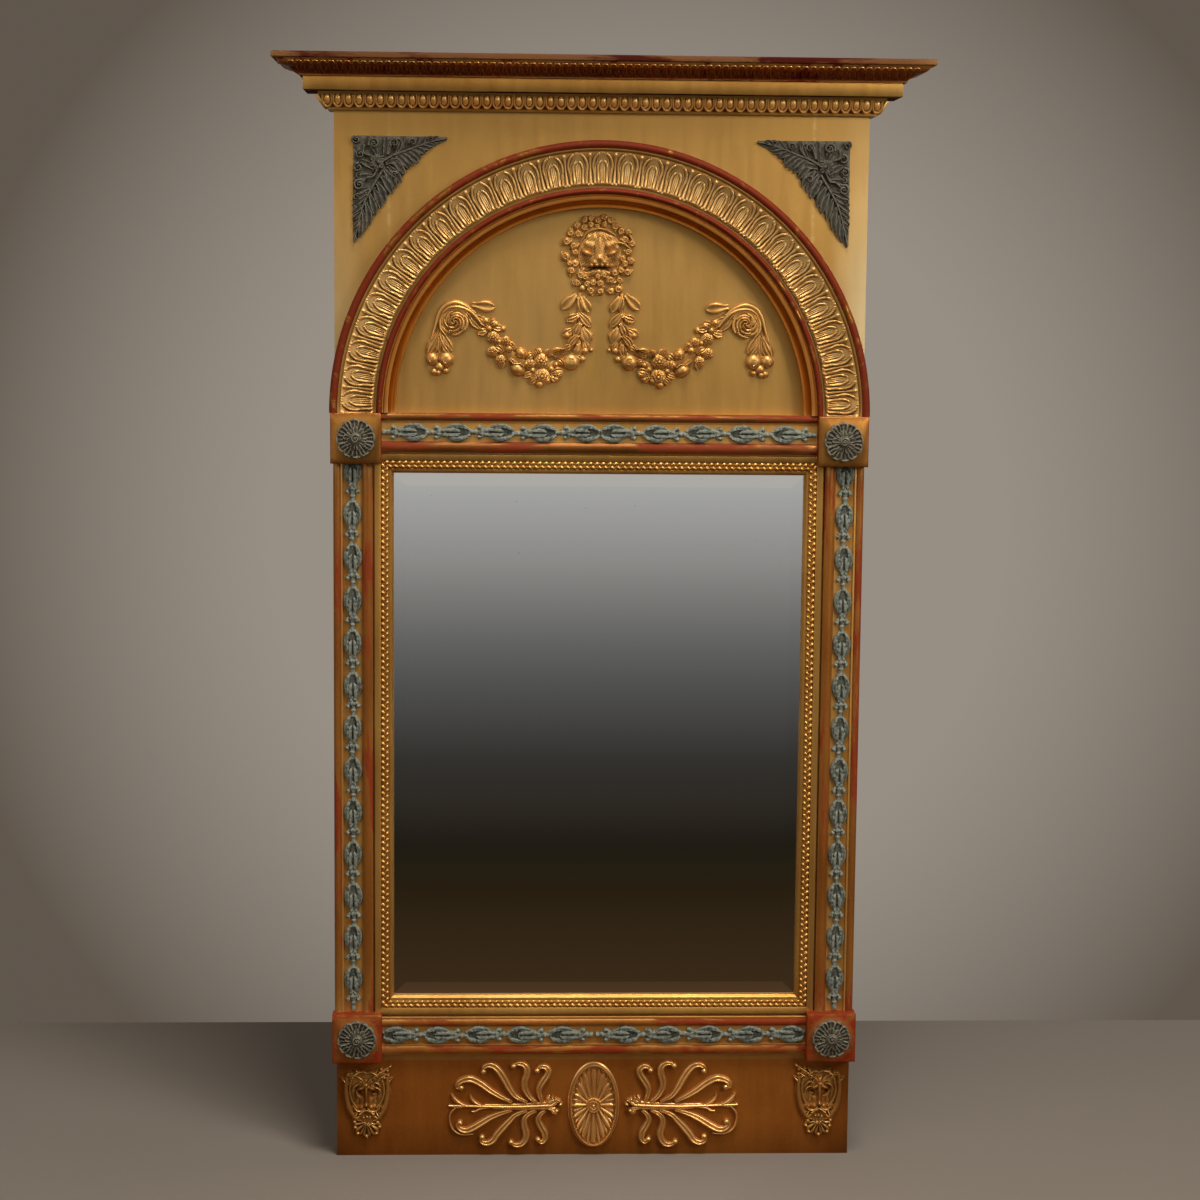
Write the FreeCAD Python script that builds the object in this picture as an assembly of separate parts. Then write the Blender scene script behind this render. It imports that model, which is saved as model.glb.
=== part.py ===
import FreeCAD, Part
import math
import os

# A carved and gilded wall mirror with a round-arched panel over the glass.
# It is drawn lying on its back: X to the right, Y up the wall from the bottom edge,
# Z out of the wall from the back. The last step stands it up and puts the origin
# midway between the holes of its two hanging plates. Lengths are in millimetres.

# Carcass: two full-height stiles, three rails and the arched board
carcass_depth = 40.0
stile_width = 80.0
top_rail_height = 60.0
arched_board_thickness = 18.0
tympanum_thickness = 14.0
tenon_length = 40.0
tenon_thickness = 8.0
tenon_shoulder = 12.0
tenon_clearance = 0.2

# Looking glass and what holds it
sight_width = 607.4
sight_height = 790.0
sight_bottom = 251.5
sight_lap = 5.5
glass_thickness = 4.0
glass_edge_clearance = 1.5
bevel_width = 23.0
bevel_drop = 1.0
rabbet_width = 10.0
rabbet_depth = 24.0
backboard_thickness = 8.0
backboard_gap = 2.0
backboard_count = 3
block_length = 40.0
block_width = 8.0
blocks_per_side = 3
end_block_shares = (-0.5, 0.5)

# Iron hanging plates, let in flush in the backs of the stiles
hanger_drop = 149.0
hanger_plate_width = 28.0
hanger_plate_height = 64.0
hanger_plate_thickness = 3.0
hanger_hole_radius = 4.0
hook_hollow_width = 20.0
hook_hollow_height = 28.0
hook_hollow_depth = 12.0

# Cornice: a bed moulding under a crown moulding, mitred round three sides
bed_height = 26.0
bed_fillet_height = 5.0
bed_fillet_projection = 8.0
bed_projection = 23.0
egg_swell = 3.5
crown_height = 51.0
soffit_projection = 41.0
fascia_height = 20.0
cyma_foot_projection = 47.0
cyma_foot_height = 3.0
cyma_top_projection = 79.5
cyma_swell = 2.5
top_fillet_projection = 83.6
top_fillet_height = 9.0
cap_thickness = 14.0

# Arch mouldings, from the arch opening outwards, and out from the carcass face
arch_inner_width = 19.0
arch_step_out = 5.0
arch_step_width = 4.0
arch_ogee_width = 7.0
arch_ogee_sag = 1.2
arch_crest_out = 15.0
inner_bead_width = 9.0
inner_bead_out = 16.0
inner_bead_rise = 4.5
quirk_width = 4.0
quirk_out = 11.0
cove_foot_out = 14.0
cove_tip_out = 22.0
cove_width = 48.0
cove_sag = 9.0
arch_fillet_width = 9.0
outer_bead_width = 7.0
outer_bead_out = 22.0
outer_bead_rise = 3.0
arch_overhang = 7.0
frieze_over_arch = 39.0

# Leaves pressed on in the cove
leaf_count = 31
leaf_foot_gap = 6.8
leaf_gap = 2.7
leaf_shoulder_share = 0.6
leaf_thickness = 3.0
leaf_seat = 0.2
leaf_rim_width = 3.5
leaf_heart_share = 0.7
leaf_heart_width = 11.0
leaf_heart_thickness = 1.5

# Reeded mouldings along the stiles and rails, from their outer edge inwards
moulding_overhang = 2.0
outer_reed_width = 11.0
outer_reed_rise = 5.5
moulding_fillet_width = 3.0
moulding_fillet_out = 10.5
channel_width = 28.0
channel_out = 8.0
inner_reed_width = 16.0
inner_reed_rise = 7.5

# Sight mouldings round the glass, from their outer edge inwards
sight_flat_width = 10.0
sight_flat_out = 10.0
astragal_width = 5.5
astragal_out = 7.5
astragal_rise = 2.0
sight_lip_width = 7.3
sight_lip_out = 3.5
sight_gap_side = 2.0
sight_gap_above = 2.2
sight_gap_below = 4.2

# Corner blocks and their rosettes
block_size = 74.0
corner_block_thickness = 30.0
corner_block_overhang = 5.0
corner_block_chamfer = 1.2
rosette_radius = 30.5
rosette_petals = 12
rosette_thickness = 5.0
rosette_inner_radius = 20.0
rosette_inner_petals = 9
rosette_inner_thickness = 3.0
rosette_button_radius = 8.0
rosette_button_height = 5.0
rosette_notch_share = 0.88

# Leaf strings in the channels
husk_string_gap = 4.0
husk_width = 20.0
husk_length = 37.0
husk_neck_width = 6.0
husk_curl_span = 19.0
husk_curl_drop = 7.0
husk_thickness = 4.0
husk_shoulder_share = 0.34
stile_husk_count = 13
rail_husk_count = 5

# Corner ornaments of the arched board
corner_ornament_width = 136.0
corner_ornament_height = 155.0
corner_ornament_margin_side = 26.0
corner_ornament_margin_top = 34.0
corner_ornament_thickness = 4.0
corner_ornament_relief = 4.0
corner_tip_width = 12.0
corner_tooth_count = 12
corner_tooth_depth = 5.0
corner_scroll_radius = 15.0
corner_scroll_width = 6.0
corner_scroll_sweep_degrees = 280.0
corner_stem_width = 9.0
corner_ornament_sag = 6.0
corner_bud_share = 0.27
# Scroll centres across and down, as shares of the ornament, and each one's turn in degrees
corner_scroll_shares = ((0.24, 0.11, 60), (0.115, 0.31, 150), (0.49, 0.12, 20))
# Stem tips and the points that the stems pass through, as shares across and down
corner_stem_shares = ((0.92, 0.045, 0.55, 0.2), (0.045, 0.92, 0.2, 0.55))

# Mask at the head of the tympanum
mask_margin = 8.0
mask_radius = 51.0
mask_thickness = 7.0
mask_curls = 14
mask_face_half_width = 30.0
mask_face_half_height = 37.0
mask_face_drop = 3.0
mask_face_thickness = 9.0
mask_muzzle_half_width = 17.0
mask_muzzle_half_height = 12.0
mask_muzzle_drop = 20.0
mask_muzzle_thickness = 13.0
mask_brow_length = 25.0
mask_brow_width = 7.0
mask_brow_rise = 5.0
mask_brow_turn_degrees = 24.0
mask_brow_thickness = 11.0
mask_nose_width = 9.0
mask_nose_length = 30.0
mask_nose_thickness = 15.0
mask_curl_radius = 8.0
# Rows of beard curls: how many, how far below the middle, and how far apart
mask_beard_rows = ((4, 50.0, 16.0), (3, 59.0, 14.0))
mask_beard_thickness = 9.0
mask_beard_lift_share = 0.22

# Festoons hung between the mask and the rosebuds
festoon_thickness = 6.0
# Points across and up from the arch centre, as shares of the arch opening's radius
festoon_top_shares = (0.093, 0.532)
festoon_low_shares = (0.299, 0.2)
festoon_end_shares = (0.562, 0.419)
rose_shares = (0.713, 0.444)
festoon_end_width = 10.0
festoon_width = 32.0
festoon_lobes = 9
festoon_lobe_rise = 3.2
festoon_tail_width = 9.0
festoon_tail_sag = 4.0
# Where the fruits lie along the swag and across it, as shares of its length and width
fruit_shares = ((0.28, 0.1), (0.44, -0.2), (0.58, 0.2), (0.74, -0.1))
fruit_radius = 8.0
fruit_thickness = 11.0
festoon_husk_count = 2
festoon_husk_length = 29.0
festoon_husk_width = 12.0
festoon_husk_lap = 4.0
festoon_husk_fan_degrees = 66.0
rose_radius = 20.0
rose_petals = 8
rose_thickness = 6.0
rose_inner_radius = 13.0
rose_inner_petals = 5
rose_inner_thickness = 2.5
rose_heart_radius = 6.0
rose_heart_height = 3.0
# The ribbon goes round the rose a little outside it, by angles from the rose's right-hand side
ribbon_width = 9.0
ribbon_clearance = 3.0
ribbon_thickness = 8.0
ribbon_start_degrees = 165.0
ribbon_end_degrees = -10.0
ribbon_leaf_length = 38.0
ribbon_leaf_width = 12.0
ribbon_fall_length = 32.0
ribbon_fall_lean = 17.0
drop_leaf_length = 30.0
drop_leaf_width = 15.0
drop_leaf_fan_degrees = 30.0
drop_fruit_spread = 10.5
drop_fruit_lift = 8.0
drop_reach = 25.0
drop_leaf_fall = 18.0
drop_length = 56.0

# Apron: oval patera, two palmettes and two rams' heads
apron_centre_share = 0.49
patera_half_width = 39.5
patera_half_height = 67.5
patera_rim_width = 7.0
patera_rim_thickness = 9.0
patera_plate_thickness = 2.5
patera_petals = 16
patera_petal_thickness = 3.0
patera_petal_margin = 2.0
patera_inner_share = 0.62
patera_inner_petals = 12
patera_inner_thickness = 2.0
patera_button_radius = 9.0
patera_button_height = 5.0
palmette_gap = 6.5
palmette_length = 174.0
palmette_stem_width = 9.0
palmette_thickness = 5.0
palmette_knot_radius = 9.0
palmette_knot_rise = 1.5
palmette_arm_width = 7.0
palmette_ball_radius = 5.5
palmette_leaf_length = 30.0
# Each arm from its root to its ball: shares along the stem and out from it
palmette_arm_shares = (
    ((0.138, 0.0), (0.21, 0.2), (0.2, 0.42), (0.149, 0.68), (0.172, 0.83), (0.236, 0.8)),
    ((0.207, 0.0), (0.3, 0.24), (0.35, 0.52), (0.37, 0.8), (0.41, 0.91), (0.46, 0.84)),
    ((0.287, 0.0), (0.42, 0.2), (0.53, 0.52), (0.598, 0.79), (0.66, 0.9), (0.71, 0.8)),
    ((0.379, 0.0), (0.57, 0.16), (0.7, 0.4), (0.8, 0.57), (0.88, 0.57), (0.9, 0.4)))
ram_inset = 45.0
ram_width = 70.0
ram_gap = 12.0
ram_length = 112.0
ram_face_width = 34.0
ram_muzzle_width = 15.0
ram_face_length = 62.0
ram_brow_share = 0.12
ram_muzzle_thickness = 13.0
# How far the face has drawn in at three shares of its height
ram_face_shares = ((1.0, 0.0), (0.9, 0.6), (0.55, 1.0))
ram_horn_width = 15.0
ram_horn_thickness = 13.0
ram_shell_radius = 34.0
ram_shell_petals = 7
ram_shell_thickness = 7.0

# Carved rounds are a few flat cuts each
boss_sides = 6
boss_shares = ((1.0, 0.0), (0.9, 0.55), (0.45, 1.0))
stud_share = 0.55
oval_boss_sides = 8
oval_sides = 22
arch_flats = 3
ogee_flats = 2
tongue_flats = 4
reed_flats = 6
astragal_flats = 4
leaf_heart_flats = 2
petal_flats = 2
husk_flats = 2
stem_flats = 2
horn_flats = 4
scroll_flats = 5

# Cutters run past the faces that they open by this much
overrun = 2.0
# Points closer than this are one point
same_place = 0.001

# Places that follow from the sizes above
face = carcass_depth
board_back = carcass_depth - arched_board_thickness
moulding_width = (outer_reed_width + moulding_fillet_width
                  + channel_width + inner_reed_width)
sight_border = sight_flat_width + 2 * astragal_width + sight_lip_width
sight_half_width = sight_width / 2 + sight_border
half_width = sight_half_width + sight_gap_side + moulding_width - moulding_overhang
stile_inner = half_width - stile_width
moulding_outer = half_width + moulding_overhang
channel_centre = outer_reed_width + moulding_fillet_width + channel_width / 2
sight_top = sight_bottom + sight_height
bottom_moulding_edge = sight_bottom - sight_border - sight_gap_below - moulding_width
spring_line = sight_top + sight_border + sight_gap_above + moulding_width
glass_bay_bottom = sight_bottom - sight_lap
glass_bay_top = sight_top + sight_lap
arch_outer_radius = half_width + arch_overhang
cove_tip_radius = arch_outer_radius - outer_bead_width - arch_fillet_width
cove_foot_radius = cove_tip_radius - cove_width
arch_seam_radius = cove_foot_radius - quirk_width - inner_bead_width
arch_opening_radius = arch_seam_radius - arch_inner_width
leaf_shoulder_radius = cove_foot_radius + cove_width * leaf_shoulder_share
leaf_spread = 2 * math.tan(math.pi / (2 * leaf_count))
leaf_width = leaf_shoulder_radius * leaf_spread - leaf_gap
leaf_foot_width = cove_foot_radius * leaf_spread - leaf_foot_gap
frieze_top = spring_line + arch_outer_radius + frieze_over_arch
cornice_top = frieze_top + bed_height + crown_height
stile_height = cornice_top - cap_thickness
top_rail_bottom = stile_height - top_rail_height
hanger_height = stile_height - hanger_drop
block_half = block_size / 2
block_centre_x = half_width + corner_block_overhang - block_half
block_inner = block_centre_x - block_half
top_block_centre = spring_line - block_half
top_block_bottom = spring_line - block_size
bottom_block_centre = bottom_moulding_edge + moulding_width / 2
bottom_block_top = bottom_block_centre + block_half
stile_husk_pitch = (top_block_bottom - bottom_block_top - husk_string_gap) / stile_husk_count
rail_husk_pitch = (block_inner - husk_string_gap) / rail_husk_count
mask_centre_height = spring_line + arch_opening_radius - mask_radius - mask_margin
patera_height = bottom_moulding_edge * apron_centre_share
palmette_start = patera_half_width + palmette_gap
palmette_end = palmette_start + palmette_length
ribbon_reach = rose_radius + ribbon_clearance
ram_centre_x = half_width - ram_inset
ram_top = bottom_block_centre - block_half - ram_gap

right = FreeCAD.Vector(1, 0, 0)
up = FreeCAD.Vector(0, 1, 0)
out = FreeCAD.Vector(0, 0, 1)
corner = FreeCAD.Vector(0, 0, 0)


def at(x, y, z=0.0):
    return FreeCAD.Vector(x, y, z)


def moved(shape, x, y, z=0.0):
    copy = shape.copy()
    copy.translate(at(x, y, z))
    return copy


def turned(shape, degrees, centre=corner, axis=out):
    copy = shape.copy()
    copy.rotate(centre, axis, degrees)
    return copy


def mirrored(shape):
    """The same shape on the other side of the upright centre line."""
    return shape.mirror(corner, right)


def slab(x_low, x_high, y_low, y_high, z_low, z_high):
    """A square-edged board between six planes."""
    return Part.makeBox(x_high - x_low, y_high - y_low, z_high - z_low, at(x_low, y_low, z_low))


def closed_face(start, steps, flats=0):
    """A flat face. A step is the point at the end of a straight edge,
    or a pair of points: one that an arc passes through, and the arc's end.
    With flats, each arc is carved as that many straight cuts."""
    edges = []
    here = start
    for step in steps:
        if isinstance(step, tuple):
            middle, end = step
            arc = Part.Arc(here, middle, end).toShape()
            if flats:
                edges += Part.makePolygon(arc.discretize(flats + 1)).Edges
            else:
                edges.append(arc)
        else:
            end = step
            edges.append(Part.LineSegment(here, end).toShape())
        here = end
    if (here - start).Length > same_place:
        edges.append(Part.LineSegment(here, start).toShape())
    return Part.Face(Part.Wire(edges))


def bulge(start, end, rise):
    """Arc step from start to end whose middle stands off the chord, to its left, by rise."""
    chord = end - start
    chord.normalize()
    middle = (start + end) * 0.5 + at(-chord.y, chord.x) * rise
    return middle, end


def solid_from(flat, z_low, thickness):
    """A flat outline made solid from z_low outwards."""
    return moved(flat, 0, 0, z_low).extrude(out * thickness)


def disc(radius, thickness, x, y, z):
    return Part.makeCylinder(radius, thickness, at(x, y, z), out)


def stacked(rings):
    """A solid with flat sides between outlines of equally many points, lowest first."""
    faces = []
    for lower, upper in zip(rings, rings[1:]):
        for index in range(len(lower)):
            following = (index + 1) % len(lower)
            quad = [lower[index], lower[following], upper[following], upper[index], lower[index]]
            faces.append(Part.Face(Part.makePolygon(quad)))
    for ring in (rings[0], rings[-1]):
        faces.append(Part.Face(Part.makePolygon(ring + ring[:1])))
    return Part.makeSolid(Part.makeShell(faces))


def round_ring(radius, z, sides):
    """Points spaced evenly round the origin."""
    angles = [2 * math.pi * index / sides for index in range(sides)]
    return [at(radius * math.cos(angle), radius * math.sin(angle), z) for angle in angles]


def boss(radius, height, x, y, z):
    """A carved boss: steep flank, then a flatter crown."""
    rings = [round_ring(radius * radius_share, height * height_share, boss_sides)
             for radius_share, height_share in boss_shares]
    return moved(stacked(rings), x, y, z)


def joined(pieces):
    """Overlapping solids made one, with faces that lie in one plane made one face."""
    return pieces[0].multiFuse(pieces[1:]).removeSplitter()


def stud(radius, height, x, y, z):
    """A small carved round: one ring of sloping cuts and a flat top."""
    rings = [round_ring(radius, 0, boss_sides), round_ring(radius * stud_share, height, boss_sides)]
    return moved(stacked(rings), x, y, z)


def oval_boss(half_x, half_y, height, x, y, z):
    """A boss that is wider one way than the other."""
    rings = []
    for radius_share, height_share in boss_shares:
        ring = round_ring(radius_share, height * height_share, oval_boss_sides)
        rings.append([at(point.x * half_x, point.y * half_y, point.z) for point in ring])
    return moved(stacked(rings), x, y, z)


def profile_stood_up(flat):
    """A section drawn with X across and Y outwards, turned so that it stands out of the wall."""
    return turned(flat, 90, corner, right)


def run(section, length):
    """A moulding that runs up the wall, with its outer edge on the left."""
    return profile_stood_up(section).extrude(up * length)


def ring_sector(inner, outer, start_degrees, end_degrees):
    """A flat band round the origin, carved in a few cuts."""
    def on(radius, degrees):
        angle = math.radians(degrees)
        return at(radius * math.cos(angle), radius * math.sin(angle))
    middle = (start_degrees + end_degrees) / 2
    return closed_face(on(inner, start_degrees), [
        on(outer, start_degrees),
        (on(outer, middle), on(outer, end_degrees)),
        on(inner, end_degrees),
        (on(inner, middle), on(inner, start_degrees))], scroll_flats)


def curved_strip(start, middle, end, start_width, end_width, flats):
    """A flat band whose centre line is an arc through three points, carved in a few cuts."""
    centre = Part.Arc(start, middle, end).toShape().Curve.Center
    middle_width = (start_width + end_width) / 2

    def off(place, width, side):
        ray = place - centre
        ray.normalize()
        return place + ray * (side * width / 2)
    return closed_face(off(start, start_width, 1), [
        (off(middle, middle_width, 1), off(end, end_width, 1)),
        off(end, end_width, -1),
        (off(middle, middle_width, -1), off(start, start_width, -1))], flats)


def bent_strip(points, start_width, end_width):
    """A flat band along a few straight runs, tapered from one end to the other."""
    last = len(points) - 1
    one_side = []
    other_side = []
    for index, place in enumerate(points):
        course = points[min(index + 1, last)] - points[max(index - 1, 0)]
        course.normalize()
        half = (start_width + (end_width - start_width) * index / last) / 2
        aside = at(-course.y, course.x) * half
        one_side.append(place + aside)
        other_side.append(place - aside)
    other_side.reverse()
    outline = one_side + other_side
    return closed_face(outline[0], outline[1:])


def leafy_strip(start, middle, end, narrow, full, lobes, lobe_rise):
    """A flat crescent along an arc, with lobed edges: narrow at its ends and full in the middle."""
    arc = Part.Arc(start, middle, end).toShape()
    points = arc.discretize(lobes + 1)
    outer = []
    inner = []
    for index, place in enumerate(points):
        ray = place - arc.Curve.Center
        ray.normalize()
        half = (narrow + (full - narrow) * math.sin(math.pi * index / lobes)) / 2
        outer.append(place + ray * half)
        inner.append(place - ray * half)
    inner.reverse()
    steps = [bulge(here, there, -lobe_rise) for here, there in zip(outer, outer[1:])]
    steps.append(inner[0])
    steps += [bulge(here, there, -lobe_rise) for here, there in zip(inner, inner[1:])]
    return closed_face(outer[0], steps, petal_flats)


def petalled(count, tip_radius, notch_radius, flats, stretch=1):
    """A flat flower outline about the origin, each petal carved with the same few cuts.
    With stretch, the flower is that many times as tall as it is wide."""
    pitch = 2 * math.pi / count

    def on(radius, angle):
        return at(radius * math.cos(angle), radius * math.sin(angle) * stretch)
    steps = []
    for index in range(count):
        steps.append((on(tip_radius, (index + 0.5) * pitch), on(notch_radius, (index + 1) * pitch)))
    return closed_face(on(notch_radius, 0), steps, flats)


def almond(length, width, flats):
    """A flat leaf outline that points up from the origin."""
    foot = corner
    tip = at(0, length)
    return closed_face(foot, [
        (at(width / 2, length / 2), tip),
        (at(-width / 2, length / 2), foot)], flats)


# Carcass
full_tenon_low = (rabbet_depth + carcass_depth - tenon_thickness) / 2
top_tenon_low = (board_back - tenon_thickness) / 2
rails = {
    "bottom_rail": (0.0, glass_bay_bottom, carcass_depth, full_tenon_low),
    "middle_rail": (glass_bay_top, spring_line, carcass_depth, full_tenon_low),
    "top_rail": (top_rail_bottom, stile_height, board_back, top_tenon_low),
}


def tenon(low, high, z_low, slack):
    """The right-hand tenon of a rail, or with slack the mortise for it."""
    return slab(stile_inner - slack, stile_inner + tenon_length + slack,
                low + tenon_shoulder - slack, high - tenon_shoulder + slack,
                z_low - slack, z_low + tenon_thickness + slack)


def glazing_rabbet():
    """The step in the back of the stiles and rails that takes the backboards."""
    return slab(-stile_inner - rabbet_width, stile_inner + rabbet_width,
                glass_bay_bottom - rabbet_width, glass_bay_top + rabbet_width,
                -overrun, rabbet_depth)


def rail(low, high, depth, tenon_low):
    board = slab(-stile_inner, stile_inner, low, high, 0, depth)
    board = board.cut(glazing_rabbet())
    end = tenon(low, high, tenon_low, 0)
    return board.fuse([end, mirrored(end)])


def right_stile():
    centre = half_width - stile_width / 2
    board = slab(stile_inner, half_width, 0, stile_height, 0, carcass_depth)
    cutters = [glazing_rabbet()]
    for low, high, depth, tenon_low in rails.values():
        cutters.append(tenon(low, high, tenon_low, tenon_clearance))
    cutters.append(slab(centre - hanger_plate_width / 2, centre + hanger_plate_width / 2,
                        hanger_height - hanger_plate_height / 2,
                        hanger_height + hanger_plate_height / 2,
                        -overrun, hanger_plate_thickness))
    cutters.append(slab(centre - hook_hollow_width / 2, centre + hook_hollow_width / 2,
                        hanger_height - hook_hollow_height / 2,
                        hanger_height + hook_hollow_height / 2,
                        -overrun, hanger_plate_thickness + hook_hollow_depth))
    return board.cut(cutters)


def right_hanger_plate():
    """A flat iron plate with a round hole for the wall hook."""
    centre = half_width - stile_width / 2
    plate = slab(centre - hanger_plate_width / 2, centre + hanger_plate_width / 2,
                 hanger_height - hanger_plate_height / 2,
                 hanger_height + hanger_plate_height / 2, 0, hanger_plate_thickness)
    return plate.cut(disc(hanger_hole_radius, hanger_plate_thickness, centre, hanger_height, 0))


def arched_board():
    """The frieze board between the stiles, cut to a half circle over the tympanum."""
    board = slab(-stile_inner, stile_inner, spring_line, stile_height, board_back, carcass_depth)
    return board.cut(disc(arch_opening_radius, carcass_depth, 0, spring_line, 0))


def tympanum_panel():
    return slab(-stile_inner, stile_inner, spring_line, top_rail_bottom,
                board_back - tympanum_thickness, board_back)


# Looking glass
def mirror_plate():
    """A silvered plate with a wide shallow bevel round its front."""
    half_x = stile_inner - glass_edge_clearance
    low = glass_bay_bottom + glass_edge_clearance
    high = glass_bay_top - glass_edge_clearance

    def outline(inset, z):
        return [at(-half_x + inset, low + inset, z), at(half_x - inset, low + inset, z),
                at(half_x - inset, high - inset, z), at(-half_x + inset, high - inset, z)]
    return stacked([outline(0, face - glass_thickness), outline(0, face - bevel_drop),
                    outline(bevel_width, face)])


def glass_blocks():
    """Small wooden blocks glued round the bay that hold the plate from behind."""
    blocks = []
    z_high = face - glass_thickness
    spacing = (glass_bay_top - glass_bay_bottom) / (blocks_per_side + 1)
    for index in range(blocks_per_side):
        centre = glass_bay_bottom + (index + 1) * spacing
        block = slab(stile_inner - block_width, stile_inner,
                     centre - block_length / 2, centre + block_length / 2, rabbet_depth, z_high)
        blocks += [block, mirrored(block)]
    for x_share in end_block_shares:
        centre = x_share * stile_inner
        for low in (glass_bay_bottom, glass_bay_top - block_width):
            blocks.append(slab(centre - block_length / 2, centre + block_length / 2,
                               low, low + block_width, rabbet_depth, z_high))
    return Part.makeCompound(blocks)


def backboard(index):
    """One of the thin boards laid across the rabbet behind the plate."""
    half_x = stile_inner + rabbet_width - backboard_gap
    low = glass_bay_bottom - rabbet_width + backboard_gap
    high = glass_bay_top + rabbet_width - backboard_gap
    width = (high - low - (backboard_count - 1) * backboard_gap) / backboard_count
    start = low + index * (width + backboard_gap)
    return slab(-half_x, half_x, start, start + width,
                rabbet_depth - backboard_thickness, rabbet_depth)


# Cornice
def bed_section():
    """Fillet and egg moulding, with X the projection and Y the height."""
    return closed_face(corner, [
        at(bed_fillet_projection, 0),
        at(bed_fillet_projection, bed_fillet_height),
        bulge(at(bed_fillet_projection, bed_fillet_height), at(bed_projection, bed_height),
              -egg_swell),
        at(0, bed_height)])


def crown_section():
    """Flat fascia, a flaring cyma and the top fillet, with X the projection."""
    foot_height = fascia_height + cyma_foot_height
    top = crown_height - top_fillet_height
    foot = at(cyma_foot_projection, foot_height)
    tip = at(cyma_top_projection, top)
    turn = (foot + tip) * 0.5
    return closed_face(corner, [
        at(soffit_projection, 0),
        at(soffit_projection, fascia_height),
        at(cyma_foot_projection, fascia_height),
        foot,
        bulge(foot, turn, -cyma_swell),
        bulge(turn, tip, cyma_swell),
        at(top_fillet_projection, top),
        at(top_fillet_projection, crown_height),
        at(0, crown_height)])


def cornice_front(section, base, height):
    reach = top_fillet_projection + overrun
    sideways = turned(section, -90, corner, up)
    length = moved(sideways, -half_width - reach, base, face).extrude(right * 2 * (half_width + reach))
    plan = closed_face(at(-half_width, base, face), [
        at(half_width, base, face),
        at(half_width + reach, base, face + reach),
        at(-half_width - reach, base, face + reach)])
    return length.common(plan.extrude(up * height))


def right_cornice_return(section, base, height):
    reach = top_fillet_projection + overrun
    length = moved(section, half_width, base, 0).extrude(out * (face + reach))
    plan = closed_face(at(half_width, base, 0), [
        at(half_width + reach, base, 0),
        at(half_width + reach, base, face + reach),
        at(half_width, base, face)])
    return length.common(plan.extrude(up * height))


def cornice_cap():
    return slab(-half_width, half_width, stile_height, cornice_top, 0, face)


# Arch
def swept_over_arch(section):
    """A section drawn with X the radius, carried over the half circle."""
    stood = moved(profile_stood_up(section), 0, spring_line)
    return stood.revolve(at(0, spring_line), out, 180)


def arch_inner_section():
    """Stepped ogee that steps down to the tympanum."""
    inner = arch_opening_radius
    step = inner + arch_step_width
    crest = step + arch_ogee_width
    return closed_face(at(inner, 0), [
        at(inner, arch_step_out),
        at(step, arch_step_out),
        bulge(at(step, arch_step_out), at(crest, arch_crest_out), -arch_ogee_sag),
        at(arch_seam_radius, arch_crest_out),
        at(arch_seam_radius, 0)], ogee_flats)


def cove_line(lift):
    """Foot, middle and tip of the cove's arc, or of one that lies above it by lift."""
    foot = at(cove_foot_radius, cove_foot_out + lift)
    tip = at(cove_tip_radius, cove_tip_out + lift)
    middle, tip = bulge(foot, tip, -cove_sag)
    return foot, middle, tip


def arch_outer_section():
    """Inner bead, leaf cove, fillet and outer bead."""
    bead_end = arch_seam_radius + inner_bead_width
    fillet_end = cove_tip_radius + arch_fillet_width
    foot, middle, tip = cove_line(0)
    bead_start = at(arch_seam_radius, inner_bead_out)
    outer_start = at(fillet_end, outer_bead_out)
    return closed_face(at(arch_seam_radius, 0), [
        bead_start,
        bulge(bead_start, at(bead_end, inner_bead_out), inner_bead_rise),
        at(bead_end, quirk_out),
        foot,
        (middle, tip),
        outer_start,
        *bulge(outer_start, at(arch_outer_radius, outer_bead_out), outer_bead_rise),
        at(arch_outer_radius, 0)], arch_flats)


def cove_skin(thickness):
    """The layer over one leaf's share of the cove, straight across the head of the arch."""
    foot, middle, tip = cove_line(leaf_seat)
    high_foot, high_middle, high_tip = cove_line(leaf_seat + thickness)
    section = closed_face(foot, [(middle, tip), high_tip, (high_middle, high_foot)], arch_flats)
    stood = turned(profile_stood_up(section), 90)
    return moved(stood, -leaf_width / 2, 0).extrude(right * leaf_width)


def tongue():
    """A flat leaf outline with a round tip, as long as the cove is wide."""
    return closed_face(at(leaf_foot_width / 2, cove_foot_radius), [
        at(leaf_width / 2, leaf_shoulder_radius),
        (at(0, cove_tip_radius), at(-leaf_width / 2, leaf_shoulder_radius)),
        at(-leaf_foot_width / 2, cove_foot_radius)], tongue_flats)


def arch_leaves():
    """Round-tipped leaves with a raised heart, side by side over the whole cove."""
    pitch = 180 / leaf_count
    depth = face + cove_tip_out + leaf_thickness + leaf_heart_thickness

    def pressed(flat, thickness):
        return cove_skin(thickness).common(flat.extrude(out * depth))
    heart = moved(almond(cove_width * leaf_heart_share, leaf_heart_width, leaf_heart_flats),
                  0, cove_foot_radius + leaf_rim_width)
    leaf = pressed(tongue(), leaf_thickness)
    leaf = leaf.fuse(pressed(heart, leaf_thickness + leaf_heart_thickness))
    leaves = []
    for index in range(leaf_count):
        angle = (index + 0.5) * pitch - 90
        leaves.append(moved(turned(leaf, angle), 0, spring_line, face))
    return Part.makeCompound(leaves)


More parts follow.
